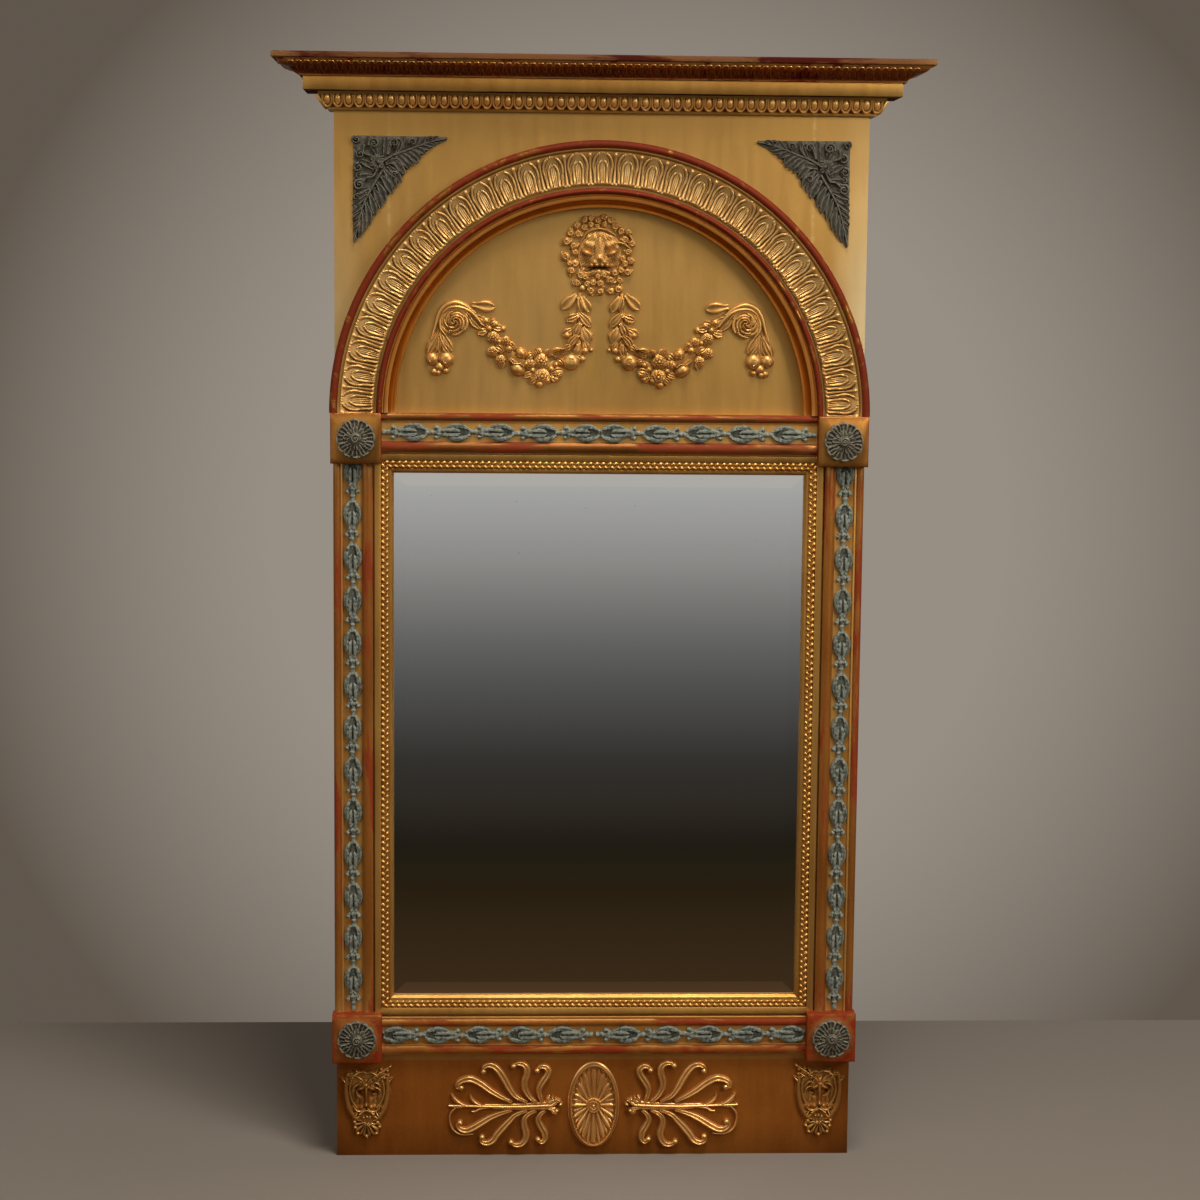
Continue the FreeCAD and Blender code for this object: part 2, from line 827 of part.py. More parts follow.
# Mouldings along the stiles and rails
def reeded_section():
    """Reed, fillet, ornament channel and wider reed, from the outer edge inwards."""
    fillet_start = outer_reed_width
    channel_start = fillet_start + moulding_fillet_width
    channel_end = channel_start + channel_width
    outer_foot = at(0, channel_out)
    inner_foot = at(channel_end, channel_out)
    return closed_face(corner, [
        outer_foot,
        bulge(outer_foot, at(outer_reed_width, channel_out), outer_reed_rise),
        at(fillet_start, moulding_fillet_out),
        at(channel_start, moulding_fillet_out),
        at(channel_start, channel_out),
        inner_foot,
        bulge(inner_foot, at(moulding_width, channel_out), inner_reed_rise),
        at(moulding_width, 0)], reed_flats)


def left_reeded_moulding():
    length = top_block_bottom - bottom_block_top
    return moved(run(reeded_section(), length), -moulding_outer, bottom_block_top, face)


def top_reeded_moulding():
    """Laid on its side between the top blocks, with its outer edge up."""
    length = turned(run(reeded_section(), 2 * block_inner), -90)
    return moved(length, -block_inner, spring_line, face)


def bottom_reeded_moulding():
    """The same moulding the other way up, between the bottom blocks."""
    length = top_reeded_moulding().mirror(at(0, spring_line), up)
    return moved(length, 0, bottom_moulding_edge - spring_line)


def sight_section():
    """Sanded flat, a pair of astragals and the lip that laps the glass."""
    first = sight_flat_width
    second = first + astragal_width
    third = second + astragal_width
    return closed_face(corner, [
        at(0, sight_flat_out),
        at(first, sight_flat_out),
        at(first, astragal_out),
        bulge(at(first, astragal_out), at(second, astragal_out), astragal_rise),
        bulge(at(second, astragal_out), at(third, astragal_out), astragal_rise),
        at(sight_border, sight_lip_out),
        at(sight_border, 0)], astragal_flats)


def corner_block_places():
    return {
        "top_left": (-block_centre_x, top_block_centre),
        "top_right": (block_centre_x, top_block_centre),
        "bottom_left": (-block_centre_x, bottom_block_centre),
        "bottom_right": (block_centre_x, bottom_block_centre),
    }


def clear_of_blocks(moulding):
    """The sight mouldings' outer corners are cut away where the corner blocks stand."""
    seats = []
    for x, y in corner_block_places().values():
        seats.append(slab(x - block_half, x + block_half, y - block_half, y + block_half,
                          face, face + corner_block_thickness))
    return moulding.cut(seats)


def left_sight_moulding():
    """The upright length on the left, mitred at both ends."""
    inner_x = -sight_width / 2
    outer_x = inner_x - sight_border
    low = sight_bottom - sight_border
    high = sight_top + sight_border
    length = moved(run(sight_section(), high - low), outer_x, low, face)
    plan = closed_face(at(outer_x, low), [
        at(inner_x, sight_bottom), at(inner_x, sight_top), at(outer_x, high)])
    return clear_of_blocks(length.common(solid_from(plan, face, sight_flat_out)))


def top_sight_moulding():
    """The level length over the glass, mitred at both ends."""
    inner_x = sight_width / 2
    outer_x = inner_x + sight_border
    outer_y = sight_top + sight_border
    length = moved(turned(run(sight_section(), 2 * outer_x), -90), -outer_x, outer_y, face)
    plan = closed_face(at(-outer_x, outer_y), [
        at(-inner_x, sight_top), at(inner_x, sight_top), at(outer_x, outer_y)])
    return clear_of_blocks(length.common(solid_from(plan, face, sight_flat_out)))


def bottom_sight_moulding():
    inner_x = sight_width / 2
    outer_x = inner_x + sight_border
    outer_y = sight_bottom - sight_border
    length = turned(run(sight_section(), 2 * outer_x), 90)
    length = moved(length, outer_x, outer_y, face)
    plan = closed_face(at(outer_x, outer_y), [
        at(inner_x, sight_bottom), at(-inner_x, sight_bottom), at(-outer_x, outer_y)])
    return clear_of_blocks(length.common(solid_from(plan, face, sight_flat_out)))


# Corner blocks and rosettes
def corner_block(x, y):
    block = slab(x - block_half, x + block_half, y - block_half, y + block_half,
                 face, face + corner_block_thickness)
    front = face + corner_block_thickness
    rim = [edge for edge in block.Edges
           if all(abs(end.Z - front) < same_place for end in edge.Vertexes)]
    return block.makeChamfer(corner_block_chamfer, rim)


def rosette(x, y):
    """Two rings of petals round a button."""
    notch = rosette_radius * rosette_notch_share
    outer = petalled(rosette_petals, rosette_radius, notch, petal_flats)
    inner_notch = rosette_inner_radius * rosette_notch_share
    inner = petalled(rosette_inner_petals, rosette_inner_radius, inner_notch, petal_flats)
    seat = face + corner_block_thickness
    flower = solid_from(outer, seat, rosette_thickness)
    inner_seat = seat + rosette_thickness
    flower = flower.fuse([
        solid_from(inner, inner_seat, rosette_inner_thickness),
        boss(rosette_button_radius, rosette_button_height,
             0, 0, inner_seat + rosette_inner_thickness)])
    return moved(flower, x, y)


# Leaf strings
def husk(pitch):
    """One link of a string: a hooded leaf over two curls and a stem, hanging from the origin."""
    half = husk_width / 2
    neck = husk_neck_width / 2
    curl_low = -husk_length - husk_curl_drop

    def flank(side):
        return [at(side * half, -husk_length * husk_shoulder_share),
                at(side * neck, -husk_length),
                at(side * husk_curl_span / 2, -husk_length - husk_curl_drop / 2),
                at(side * neck, curl_low),
                at(side * neck, -pitch)]
    outline = closed_face(at(-neck, 0), [at(neck, 0)] + flank(1) + flank(-1)[::-1])
    return solid_from(outline, 0, husk_thickness)


def leaf_string(count, pitch):
    """Links that hang one from the next, seated on the channel floor."""
    link = husk(pitch)
    links = [moved(link, 0, -index * pitch, face + channel_out) for index in range(count)]
    return joined(links)


def left_leaf_string():
    return moved(leaf_string(stile_husk_count, stile_husk_pitch),
                 channel_centre - moulding_outer, top_block_bottom)


def rail_leaf_string(height):
    """Two strings that run out from the middle of a rail."""
    length = moved(turned(leaf_string(rail_husk_count, rail_husk_pitch), 90), 0, height)
    return joined([length, mirrored(length)])


# Corner ornaments
def left_corner_ornament():
    """A pierced-looking triangle of scrolls with a toothed edge towards the arch."""
    width = corner_ornament_width
    height = corner_ornament_height
    start = at(width, -corner_tip_width)
    end = at(corner_tip_width, -height)
    slope = end - start
    normal = at(-slope.y, slope.x)
    normal.normalize()

    def edge_point(share):
        sag = 4 * share * (1 - share) * corner_ornament_sag
        return start + slope * share - normal * sag
    steps = [at(width, 0), start]
    for index in range(corner_tooth_count):
        steps.append(bulge(edge_point(index / corner_tooth_count),
                           edge_point((index + 1) / corner_tooth_count), corner_tooth_depth))
    steps.append(at(0, -height))
    outline = closed_face(corner, steps, petal_flats)
    plate = solid_from(outline, 0, corner_ornament_thickness)
    relief = []
    bud_x = width * corner_bud_share
    bud_y = -height * corner_bud_share
    seat = corner_ornament_thickness
    relief.append(boss(corner_scroll_radius, corner_ornament_relief, bud_x, bud_y, seat))
    inner = corner_scroll_radius - corner_scroll_width
    for x_share, y_share, turn in corner_scroll_shares:
        scroll = turned(ring_sector(inner, corner_scroll_radius,
                                    0, corner_scroll_sweep_degrees), turn)
        relief.append(moved(solid_from(scroll, seat, corner_ornament_relief),
                            width * x_share, -height * y_share))
    stem_width = corner_stem_width
    for x_share, y_share, mid_x_share, mid_y_share in corner_stem_shares:
        tip = at(width * x_share, -height * y_share)
        middle = at(width * mid_x_share, -height * mid_y_share)
        stem = curved_strip(at(bud_x, bud_y), middle, tip, stem_width, stem_width / 2, stem_flats)
        relief.append(solid_from(stem, seat, corner_ornament_relief))
    plate = joined([plate] + relief)
    return moved(plate, -half_width + corner_ornament_margin_side,
                 frieze_top - corner_ornament_margin_top, face)


# Mask and festoons on the tympanum
def mask():
    """A lion's mask in a ring of curls: brows, nose and muzzle on an oval face, and a curled beard."""
    seat = board_back
    notch = mask_radius * rosette_notch_share
    pieces = [solid_from(petalled(mask_curls, mask_radius, notch, petal_flats), 0, mask_thickness)]
    high = mask_thickness
    pieces.append(oval_boss(mask_face_half_width, mask_face_half_height, mask_face_thickness,
                            0, -mask_face_drop, high))
    pieces.append(oval_boss(mask_muzzle_half_width, mask_muzzle_half_height, mask_muzzle_thickness,
                            0, -mask_muzzle_drop, high))
    nose_low = -mask_muzzle_drop
    nose = closed_face(at(-mask_nose_width / 2, nose_low), [
        at(mask_nose_width / 2, nose_low),
        at(mask_nose_width, nose_low + mask_nose_length),
        at(-mask_nose_width, nose_low + mask_nose_length)])
    pieces.append(solid_from(nose, high, mask_nose_thickness))
    brow = slab(0, mask_brow_length, 0, mask_brow_width, high, high + mask_brow_thickness)
    brow = moved(turned(brow, mask_brow_turn_degrees), 0, mask_brow_rise)
    pieces += [brow, mirrored(brow)]
    for count, drop, spread in mask_beard_rows:
        for index in range(count):
            x = (index - (count - 1) / 2) * spread
            lift = abs(x) * mask_beard_lift_share
            pieces.append(stud(mask_curl_radius, mask_beard_thickness, x, lift - drop, 0))
    return moved(joined(pieces), 0, mask_centre_height, seat)


def in_arch(shares):
    """A point given as shares of the opening's radius, across and up from the arch centre."""
    across, high = shares
    return at(across * arch_opening_radius, spring_line + high * arch_opening_radius)


def swag():
    """Two husks over a full lobed crescent of leaves, with fruits on it."""
    top = in_arch(festoon_top_shares)
    low = in_arch(festoon_low_shares)
    end = in_arch(festoon_end_shares)
    crescent = leafy_strip(top, low, end, festoon_end_width, festoon_width,
                           festoon_lobes, festoon_lobe_rise)
    pieces = [solid_from(crescent, 0, festoon_thickness)]
    fan = festoon_husk_fan_degrees
    for index in range(festoon_husk_count):
        husk_turn = 180 + (index - (festoon_husk_count - 1) / 2) * fan
        leaf = turned(almond(festoon_husk_length, festoon_husk_width, husk_flats), husk_turn)
        foot = top - at((index - (festoon_husk_count - 1) / 2) * festoon_husk_lap, 0)
        pieces.append(solid_from(moved(leaf, foot.x, foot.y), 0, fruit_thickness))
    arc = Part.Arc(top, low, end).toShape()
    for along, aside in fruit_shares:
        place = arc.valueAt(arc.FirstParameter + (arc.LastParameter - arc.FirstParameter) * along)
        ray = place - arc.Curve.Center
        ray.normalize()
        place += ray * (festoon_width * aside)
        pieces.append(stud(fruit_radius, fruit_thickness, place.x, place.y, 0))
    return pieces


def rose():
    """Two rings of petals round a small heart, on the origin."""
    notch = rose_radius * rosette_notch_share
    inner_notch = rose_inner_radius * rosette_notch_share
    inner_seat = rose_thickness + rose_inner_thickness
    outer = petalled(rose_petals, rose_radius, notch, petal_flats)
    inner = petalled(rose_inner_petals, rose_inner_radius, inner_notch, petal_flats)
    return [solid_from(outer, 0, rose_thickness),
            solid_from(inner, 0, inner_seat),
            boss(rose_heart_radius, rose_heart_height, 0, 0, inner_seat)]


def ribbon():
    """A ribbon looped over the rose, with a leaf on one side and a fall on the other."""
    loop = ring_sector(ribbon_reach - ribbon_width / 2, ribbon_reach + ribbon_width / 2,
                       ribbon_end_degrees, ribbon_start_degrees)
    leaf = turned(almond(ribbon_leaf_length, ribbon_leaf_width, petal_flats), 90)
    angle = math.radians(ribbon_end_degrees)
    knot = at(ribbon_reach * math.cos(angle), ribbon_reach * math.sin(angle))
    foot = knot + at(ribbon_fall_lean, -ribbon_fall_length)
    fall = curved_strip(knot, (knot + foot) * 0.5 + at(ribbon_clearance, 0), foot,
                        ribbon_width, ribbon_width / 2, stem_flats)
    return [solid_from(loop, 0, ribbon_thickness),
            solid_from(moved(leaf, -ribbon_reach / 2, ribbon_reach), 0, ribbon_thickness),
            solid_from(fall, 0, festoon_thickness)]


def drop():
    """A bunch that hangs beyond the rose: a core, two leaves and three fruits."""
    core = almond(drop_length, drop_leaf_width, husk_flats)
    pieces = [solid_from(moved(core, drop_reach, -drop_length), 0, festoon_thickness)]
    for side in (-1, 1):
        leaf = almond(drop_leaf_length, drop_leaf_width, petal_flats)
        leaf = turned(leaf, 180 + side * drop_leaf_fan_degrees)
        pieces.append(solid_from(moved(leaf, drop_reach, -drop_leaf_fall), 0, festoon_thickness))
        pieces.append(stud(fruit_radius, fruit_thickness, drop_reach + side * drop_fruit_spread,
                           drop_fruit_lift - drop_length, 0))
    pieces.append(stud(fruit_radius, fruit_thickness, drop_reach,
                       -drop_length - drop_fruit_lift / 2, 0))
    return pieces


def right_festoon():
    """A swag of fruit and leaves from under the mask to a rose, and a drop beyond it."""
    end = in_arch(festoon_end_shares)
    place = in_arch(rose_shares)
    link = curved_strip(end, (end + place) * 0.5 - at(0, festoon_tail_sag), place,
                        festoon_end_width, festoon_tail_width, stem_flats)
    pieces = swag() + [solid_from(link, 0, festoon_thickness)]
    pieces += [moved(piece, place.x, place.y) for piece in rose() + ribbon() + drop()]
    return moved(joined(pieces), 0, 0, board_back)


# Apron ornaments
def oval(half_x, half_y, thickness, z_low):
    curve = Part.Ellipse(at(0, half_y), at(half_x, 0), corner).toShape()
    points = curve.discretize(oval_sides + 1)
    return solid_from(Part.Face(Part.makePolygon(points)), z_low, thickness)


def patera_rim():
    """Oval moulded frame of the patera."""
    inner_x = patera_half_width - patera_rim_width
    inner_y = patera_half_height - patera_rim_width
    rim = oval(patera_half_width, patera_half_height, patera_rim_thickness, 0)
    opening = oval(inner_x, inner_y, patera_rim_thickness, 0)
    return moved(rim.cut(opening), 0, patera_height, face)


def patera():
    """Oval flower inside the rim: two rings of petals and a button on a thin plate."""
    inner_x = patera_half_width - patera_rim_width
    inner_y = patera_half_height - patera_rim_width
    pieces = [oval(inner_x, inner_y, patera_plate_thickness, 0)]
    reach = inner_x - patera_petal_margin
    stretch = (inner_y - patera_petal_margin) / reach
    seat = patera_plate_thickness
    layers = ((1, patera_petal_thickness, patera_petals),
              (patera_inner_share, patera_inner_thickness, patera_inner_petals))
    for share, thickness, count in layers:
        tip = reach * share
        ring = petalled(count, tip, tip * rosette_notch_share, petal_flats, stretch)
        pieces.append(solid_from(ring, seat, thickness))
        seat += thickness
    pieces.append(boss(patera_button_radius, patera_button_height, 0, 0, seat))
    return moved(joined(pieces), 0, patera_height, face)


def right_palmette():
    """A leafy stem on its side, with four hooked arms above and four below."""
    root = at(palmette_start, patera_height)
    half_stem = palmette_stem_width / 2
    stem = closed_face(root + at(0, half_stem), [
        at(palmette_end, patera_height + half_stem / 2),
        at(palmette_end, patera_height - half_stem / 2),
        root - at(0, half_stem)])
    high = palmette_thickness + palmette_knot_rise
    leaf = turned(almond(palmette_leaf_length, 2 * palmette_stem_width, petal_flats), 90)
    pieces = [solid_from(stem, 0, palmette_thickness),
              boss(palmette_knot_radius, high, palmette_start + palmette_knot_radius, patera_height, 0),
              solid_from(moved(leaf, palmette_end, patera_height), 0, palmette_thickness)]
    width = palmette_arm_width
    for shares in palmette_arm_shares:
        for side in (1, -1):
            points = [root + at(palmette_length * along, side * patera_half_height * aside)
                      for along, aside in shares]
            arm = bent_strip(points, width, width / 2)
            ball = points[-1]
            pieces.append(solid_from(arm, 0, palmette_thickness))
            pieces.append(stud(palmette_ball_radius, high, ball.x, ball.y, 0))
    return moved(joined(pieces), 0, 0, face)


def left_ram_mask():
    """A ram's head over a shell: long face, and horns that curl round the cheeks."""
    brow = ram_top - ram_length * ram_brow_share
    muzzle = brow - ram_face_length
    half_brow = ram_face_width / 2
    half_muzzle = ram_muzzle_width / 2
    middle = (brow + muzzle) / 2
    corners = ((-half_muzzle, muzzle), (half_muzzle, muzzle), (half_brow, brow),
               (half_muzzle, ram_top), (-half_muzzle, ram_top), (-half_brow, brow))
    rings = []
    for share, height_share in ram_face_shares:
        rings.append([at(x * share, middle + (y - middle) * share, ram_muzzle_thickness * height_share)
                      for x, y in corners])
    pieces = [stacked(rings)]
    horn_end_y = muzzle - ram_horn_width / 2
    for side in (-1, 1):
        start = at(side * half_brow, brow)
        middle = at(side * (ram_width - ram_horn_width) / 2, (brow + muzzle) / 2)
        end = at(side * half_muzzle, horn_end_y)
        horn = curved_strip(start, middle, end, ram_horn_width, ram_horn_width / 2, horn_flats)
        pieces.append(solid_from(horn, 0, ram_horn_thickness))
    shell_top = ram_top - ram_length + ram_shell_radius
    fan = 180 / ram_shell_petals
    for index in range(ram_shell_petals):
        angle = 90 + (index + 0.5) * fan
        petal = turned(almond(ram_shell_radius, ram_shell_radius / 2, leaf_heart_flats), angle)
        pieces.append(solid_from(moved(petal, 0, shell_top), 0, ram_shell_thickness))
    head = joined(pieces)
    return moved(head, -ram_centre_x, 0, face)


def stood_up(shape):
    """The wall mirror upright, with the middle of its hanging holes at the origin."""
    upright = turned(shape, 90, corner, right)
    upright.translate(at(0, 0, -hanger_height))
    return upright


def all_parts():
    parts = {}

    def pair(name, shape, drawn_on):
        other = "left" if drawn_on == "right" else "right"
        parts[name + "_" + drawn_on] = shape
        parts[name + "_" + other] = mirrored(shape)
    pair("stile", right_stile(), "right")
    for name, (low, high, depth, tenon_low) in rails.items():
        parts[name] = rail(low, high, depth, tenon_low)
    parts["arched_board"] = arched_board()
    parts["tympanum_panel"] = tympanum_panel()
    parts["mirror_plate"] = mirror_plate()
    parts["glass_blocks"] = glass_blocks()
    for index in range(backboard_count):
        parts["backboard_" + str(index + 1)] = backboard(index)
    pair("hanger_plate", right_hanger_plate(), "right")
    parts["bed_moulding_front"] = cornice_front(bed_section(), frieze_top, bed_height)
    pair("bed_moulding", right_cornice_return(bed_section(), frieze_top, bed_height), "right")
    crown_base = frieze_top + bed_height
    parts["crown_front"] = cornice_front(crown_section(), crown_base, crown_height)
    pair("crown", right_cornice_return(crown_section(), crown_base, crown_height), "right")
    parts["cornice_cap"] = cornice_cap()
    parts["arch_inner_moulding"] = moved(swept_over_arch(arch_inner_section()), 0, 0, face)
    parts["arch_outer_moulding"] = moved(swept_over_arch(arch_outer_section()), 0, 0, face)
    parts["arch_leaves"] = arch_leaves()
    pair("reeded_moulding", left_reeded_moulding(), "left")
    parts["reeded_moulding_top"] = top_reeded_moulding()
    parts["reeded_moulding_bottom"] = bottom_reeded_moulding()
    pair("sight_moulding", left_sight_moulding(), "left")
    parts["sight_moulding_top"] = top_sight_moulding()
    parts["sight_moulding_bottom"] = bottom_sight_moulding()
    for name, (x, y) in corner_block_places().items():
        parts["corner_block_" + name] = corner_block(x, y)
        parts["rosette_" + name] = rosette(x, y)
    pair("leaf_string", left_leaf_string(), "left")
    parts["leaf_string_top"] = rail_leaf_string(spring_line - channel_centre)
    parts["leaf_string_bottom"] = rail_leaf_string(bottom_moulding_edge + channel_centre)
    pair("corner_ornament", left_corner_ornament(), "left")
    parts["lion_mask"] = mask()
    pair("festoon", right_festoon(), "right")
    parts["patera_rim"] = patera_rim()
    parts["patera"] = patera()
    pair("palmette", right_palmette(), "right")
    pair("ram_mask", left_ram_mask(), "left")
    return parts


os.makedirs("parts", exist_ok=True)
for node, shape in all_parts().items():
    stood_up(shape).exportStep(os.path.join("parts", node + ".step"))
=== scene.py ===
import math
from types import SimpleNamespace

import bmesh
import bpy
import numpy as np
from mathutils import Matrix


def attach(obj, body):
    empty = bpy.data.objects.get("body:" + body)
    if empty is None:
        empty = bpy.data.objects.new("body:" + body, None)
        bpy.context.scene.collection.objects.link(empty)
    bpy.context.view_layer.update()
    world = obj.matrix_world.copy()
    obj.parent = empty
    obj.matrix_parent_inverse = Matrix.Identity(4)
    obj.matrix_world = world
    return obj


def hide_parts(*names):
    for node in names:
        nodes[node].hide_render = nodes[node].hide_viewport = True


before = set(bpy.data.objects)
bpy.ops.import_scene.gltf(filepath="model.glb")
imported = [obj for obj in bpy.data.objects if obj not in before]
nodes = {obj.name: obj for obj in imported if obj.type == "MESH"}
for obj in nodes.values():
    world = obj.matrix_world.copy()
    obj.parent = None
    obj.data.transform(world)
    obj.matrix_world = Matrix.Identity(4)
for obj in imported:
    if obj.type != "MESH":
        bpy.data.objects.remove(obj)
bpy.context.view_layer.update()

# The room: the wall mirror stands against a plain wall on a pale floor.
# Soft lamps from the right and the left, and a plain sky of light for what the gold reflects.
# The floor shows the looking glass a painted reflection, dark near it and pale far away.
HANG = 1480.0


class Tone:
    """A value, colour or direction inside a finish, on which sums can be written."""

    def __init__(self, finish, socket):
        self.finish = finish
        self.socket = socket

    def maths(self, operation, first, second, clamp=False):
        settings = {"operation": operation, "use_clamp": clamp}
        return self.finish.node("ShaderNodeMath", settings, {0: first, 1: second})

    def __add__(self, other):
        return self.maths("ADD", self, other)

    def __radd__(self, other):
        return self.maths("ADD", other, self)

    def __sub__(self, other):
        return self.maths("SUBTRACT", self, other)

    def __rsub__(self, other):
        return self.maths("SUBTRACT", other, self)

    def __mul__(self, other):
        return self.maths("MULTIPLY", self, other)

    def __rmul__(self, other):
        return self.maths("MULTIPLY", other, self)

    def __truediv__(self, other):
        return self.maths("DIVIDE", self, other)

    def __pow__(self, other):
        return self.maths("POWER", self, other)

    def __gt__(self, other):
        return self.maths("GREATER_THAN", self, other)

    def __abs__(self):
        return self.maths("ABSOLUTE", self, 0.0)

    def held(self):
        """The same value kept between 0 and 1."""
        return self.maths("ADD", self, 0.0, clamp=True)


class Finish:
    """The nodes of one finish, or of the sky."""

    def __init__(self, owner):
        owner.use_nodes = True
        self.tree = owner.node_tree
        self.tree.nodes.clear()
        self.owner = owner

    def node(self, kind, settings=None, sockets=None, output=0):
        """Any node: its settings first, then the values or links of its sockets."""
        made = self.tree.nodes.new(kind)
        for key, value in (settings or {}).items():
            if key == "stops":
                ramp = made.color_ramp
                while len(ramp.elements) > 1:
                    ramp.elements.remove(ramp.elements[-1])
                ramp.elements[0].position, ramp.elements[0].color = value[0]
                for position, colour in value[1:]:
                    ramp.elements.new(position).color = colour
            else:
                setattr(made, key, value)
        for key, value in (sockets or {}).items():
            if isinstance(value, Tone):
                self.tree.links.new(value.socket, made.inputs[key])
            else:
                made.inputs[key].default_value = value
        return Tone(self, made.outputs[output]) if made.outputs else made

    def axis(self, place, name):
        """One of the three parts, X, Y or Z, of a place or direction."""
        return self.node("ShaderNodeSeparateXYZ", None, {0: place}, name)

    def place(self):
        """The place on the object, in metres."""
        return self.node("ShaderNodeTexCoord", output="Object")

    def mix(self, share, first, second):
        """Colours laid over each other by share. A plain triple is a colour as it looks, 0 to 255."""
        first, second = (seen(*tone) if isinstance(tone, tuple) and len(tone) == 3 else tone
                         for tone in (first, second))
        return self.node("ShaderNodeMix", {"data_type": "RGBA"}, {0: share, 6: first, 7: second}, 2)

    def ramp(self, value, *stops):
        """A value turned into another between stops."""
        listed = [(position, (shade, shade, shade, 1)) for position, shade in sorted(stops)]
        return self.node("ShaderNodeValToRGB", {"stops": listed}, {0: value})

    def step(self, value, none, full):
        """0 where the value is none and 1 where it is full, either of which may be the larger."""
        return self.ramp(value, (none, 0.0), (full, 1.0))

    def grain(self, scale, detail=3.0, roughness=0.55, stretch=None, warp=0.0):
        """Cloudy variation from 0 to 1, in the object's own space."""
        place = self.place()
        if stretch:
            place = self.node("ShaderNodeVectorMath", {"operation": "MULTIPLY"}, {0: place, 1: stretch})
        return self.node("ShaderNodeTexNoise", None, {
            "Vector": place, "Scale": scale, "Detail": detail, "Roughness": roughness, "Distortion": warp})

    def bump(self, strength, distance, height):
        """Fine relief, its distance in metres."""
        return self.node("ShaderNodeBump", None, {"Strength": strength, "Distance": distance, "Height": height})

    def surface(self, **sockets):
        """The shader itself, and the material that it makes."""
        named = {key.replace("_", " "): value for key, value in sockets.items()}
        shader = self.node("ShaderNodeBsdfPrincipled", None, named)
        self.node("ShaderNodeOutputMaterial", None, {0: shader})
        return self.owner


def seen(red, green, blue):
    """The shader's colour for one that looks like this in daylight, 0 to 255."""
    return tuple((part / 255) ** 2.2 for part in (red, green, blue)) + (1.0,)


def stand(x, y, height):
    """A place in the room, by its height over the floor, in metres."""
    return x, y, height - HANG / 1000


def stood(name, data):
    """A new object in the scene."""
    made = bpy.data.objects.new(name, data)
    bpy.context.scene.collection.objects.link(made)
    return made


# The painted reflection that the floor shows the looking glass, by distance from it in metres
glass_sees = ((0.5, (112, 82, 55)), (0.66, (84, 62, 43)), (0.84, (64, 48, 33)), (1.2, (58, 45, 31)),
              (1.75, (45, 37, 25)), (2.2, (38, 35, 28)), (2.7, (50, 46, 41)), (3.3, (56, 54, 51)),
              (4.7, (84, 84, 84)), (5.7, (101, 101, 100)), (6.9, (121, 120, 118)), (8.5, (142, 140, 138)),
              (10.7, (156, 155, 154)), (14.0, (171, 171, 169)))
room_depth = 16.0
room_half = 9.0
wall_place = 0.667

floor_mesh = bpy.data.meshes.new("floor")
floor_mesh.from_pydata([stand(x, y, 0) for x, y in (
    (-room_half, -room_depth), (room_half, -room_depth), (room_half, wall_place), (-room_half, wall_place))],
    [], [(0, 1, 2, 3)])
floor = stood("floor", floor_mesh)
cloth = Finish(bpy.data.materials.new("floor_paper"))
stops = [(distance / room_depth, seen(*colour)) for distance, colour in glass_sees]
in_glass = cloth.node("ShaderNodeValToRGB", {"stops": stops}, {0: cloth.axis(cloth.place(), "Y") / -room_depth})
paper = cloth.node("ShaderNodeBsdfDiffuse", None, {
    "Color": cloth.mix(cloth.grain(1.1, 2.0), (128, 119, 109), (119, 110, 100))})
# For glossy rays the floor glows with these colours though it is no lamp: a painted reflection
painted_reflection_glow = cloth.node("ShaderNodeEmission", None, {0: in_glass})
by_glass = cloth.node("ShaderNodeLightPath", output="Is Glossy Ray")
cloth.node("ShaderNodeOutputMaterial", None, {
    0: cloth.node("ShaderNodeMixShader", None, {0: by_glass, 1: paper, 2: painted_reflection_glow})})
floor_mesh.materials.append(cloth.owner)

# The wall is the sky as the camera sees it, with a painted pool of light a little right of and below the middle
sky = Finish(bpy.data.worlds.new("sky"))
bpy.context.scene.world = sky.owner
pool_right, pool_drop = 0.04, 0.09
pool_level, pool_slant, pool_fall = 1.36, 0.57, 19.0
toward = sky.node("ShaderNodeTexCoord", output="Generated")
lean, rise = sky.axis(toward, "X"), sky.axis(toward, "Z")
off_centre = (lean - pool_right) ** 2.0 + (rise + pool_drop) ** 2.0
painted_light_pool = (pool_level + lean * pool_slant - off_centre * pool_fall).held()
backdrop = sky.mix(painted_light_pool, (96, 87, 78), (150, 141, 131))
metal_sees = sky.mix((rise * 0.8 + 0.45).held(), (48, 38, 30), (205, 200, 194))
level_wall = sky.ramp(rise * 0.5 + 0.5, (0.485, 0.0), (0.495, 1.0), (0.535, 1.0), (0.55, 0.0))
metal_sees = sky.mix(level_wall, metal_sees, (176, 173, 168))
seen_by_camera = sky.node("ShaderNodeLightPath", output="Is Camera Ray")
seen_by_gloss = sky.node("ShaderNodeLightPath", output="Is Glossy Ray")
fill_light = sky.mix(seen_by_gloss, (126, 122, 118), metal_sees)
sky.node("ShaderNodeOutputWorld", None, {0: sky.node("ShaderNodeBackground", None, {
    0: sky.mix(seen_by_camera, fill_light, backdrop), 1: 1.0})})


def lamp(name, x, y, height, width, watts, aim_x=0.0, aim_height=0.9, tone=(1.0, 0.96, 0.9)):
    """A large soft lamp that points at the object."""
    light = bpy.data.lights.new(name, "AREA")
    light.shape = "SQUARE"
    light.size = width
    light.energy = watts
    light.color = tone
    place = np.array(stand(x, y, height))
    aim = np.array(stand(aim_x, 0, aim_height)) - place
    across = np.cross(aim, (0, 0, 1))
    across /= np.linalg.norm(across)
    back = -aim / np.linalg.norm(aim)
    top = np.cross(back, across)
    rows = [[across[row], top[row], back[row], place[row]] for row in range(3)]
    stood(name, light).matrix_world = Matrix(rows + [[0, 0, 0, 1]])


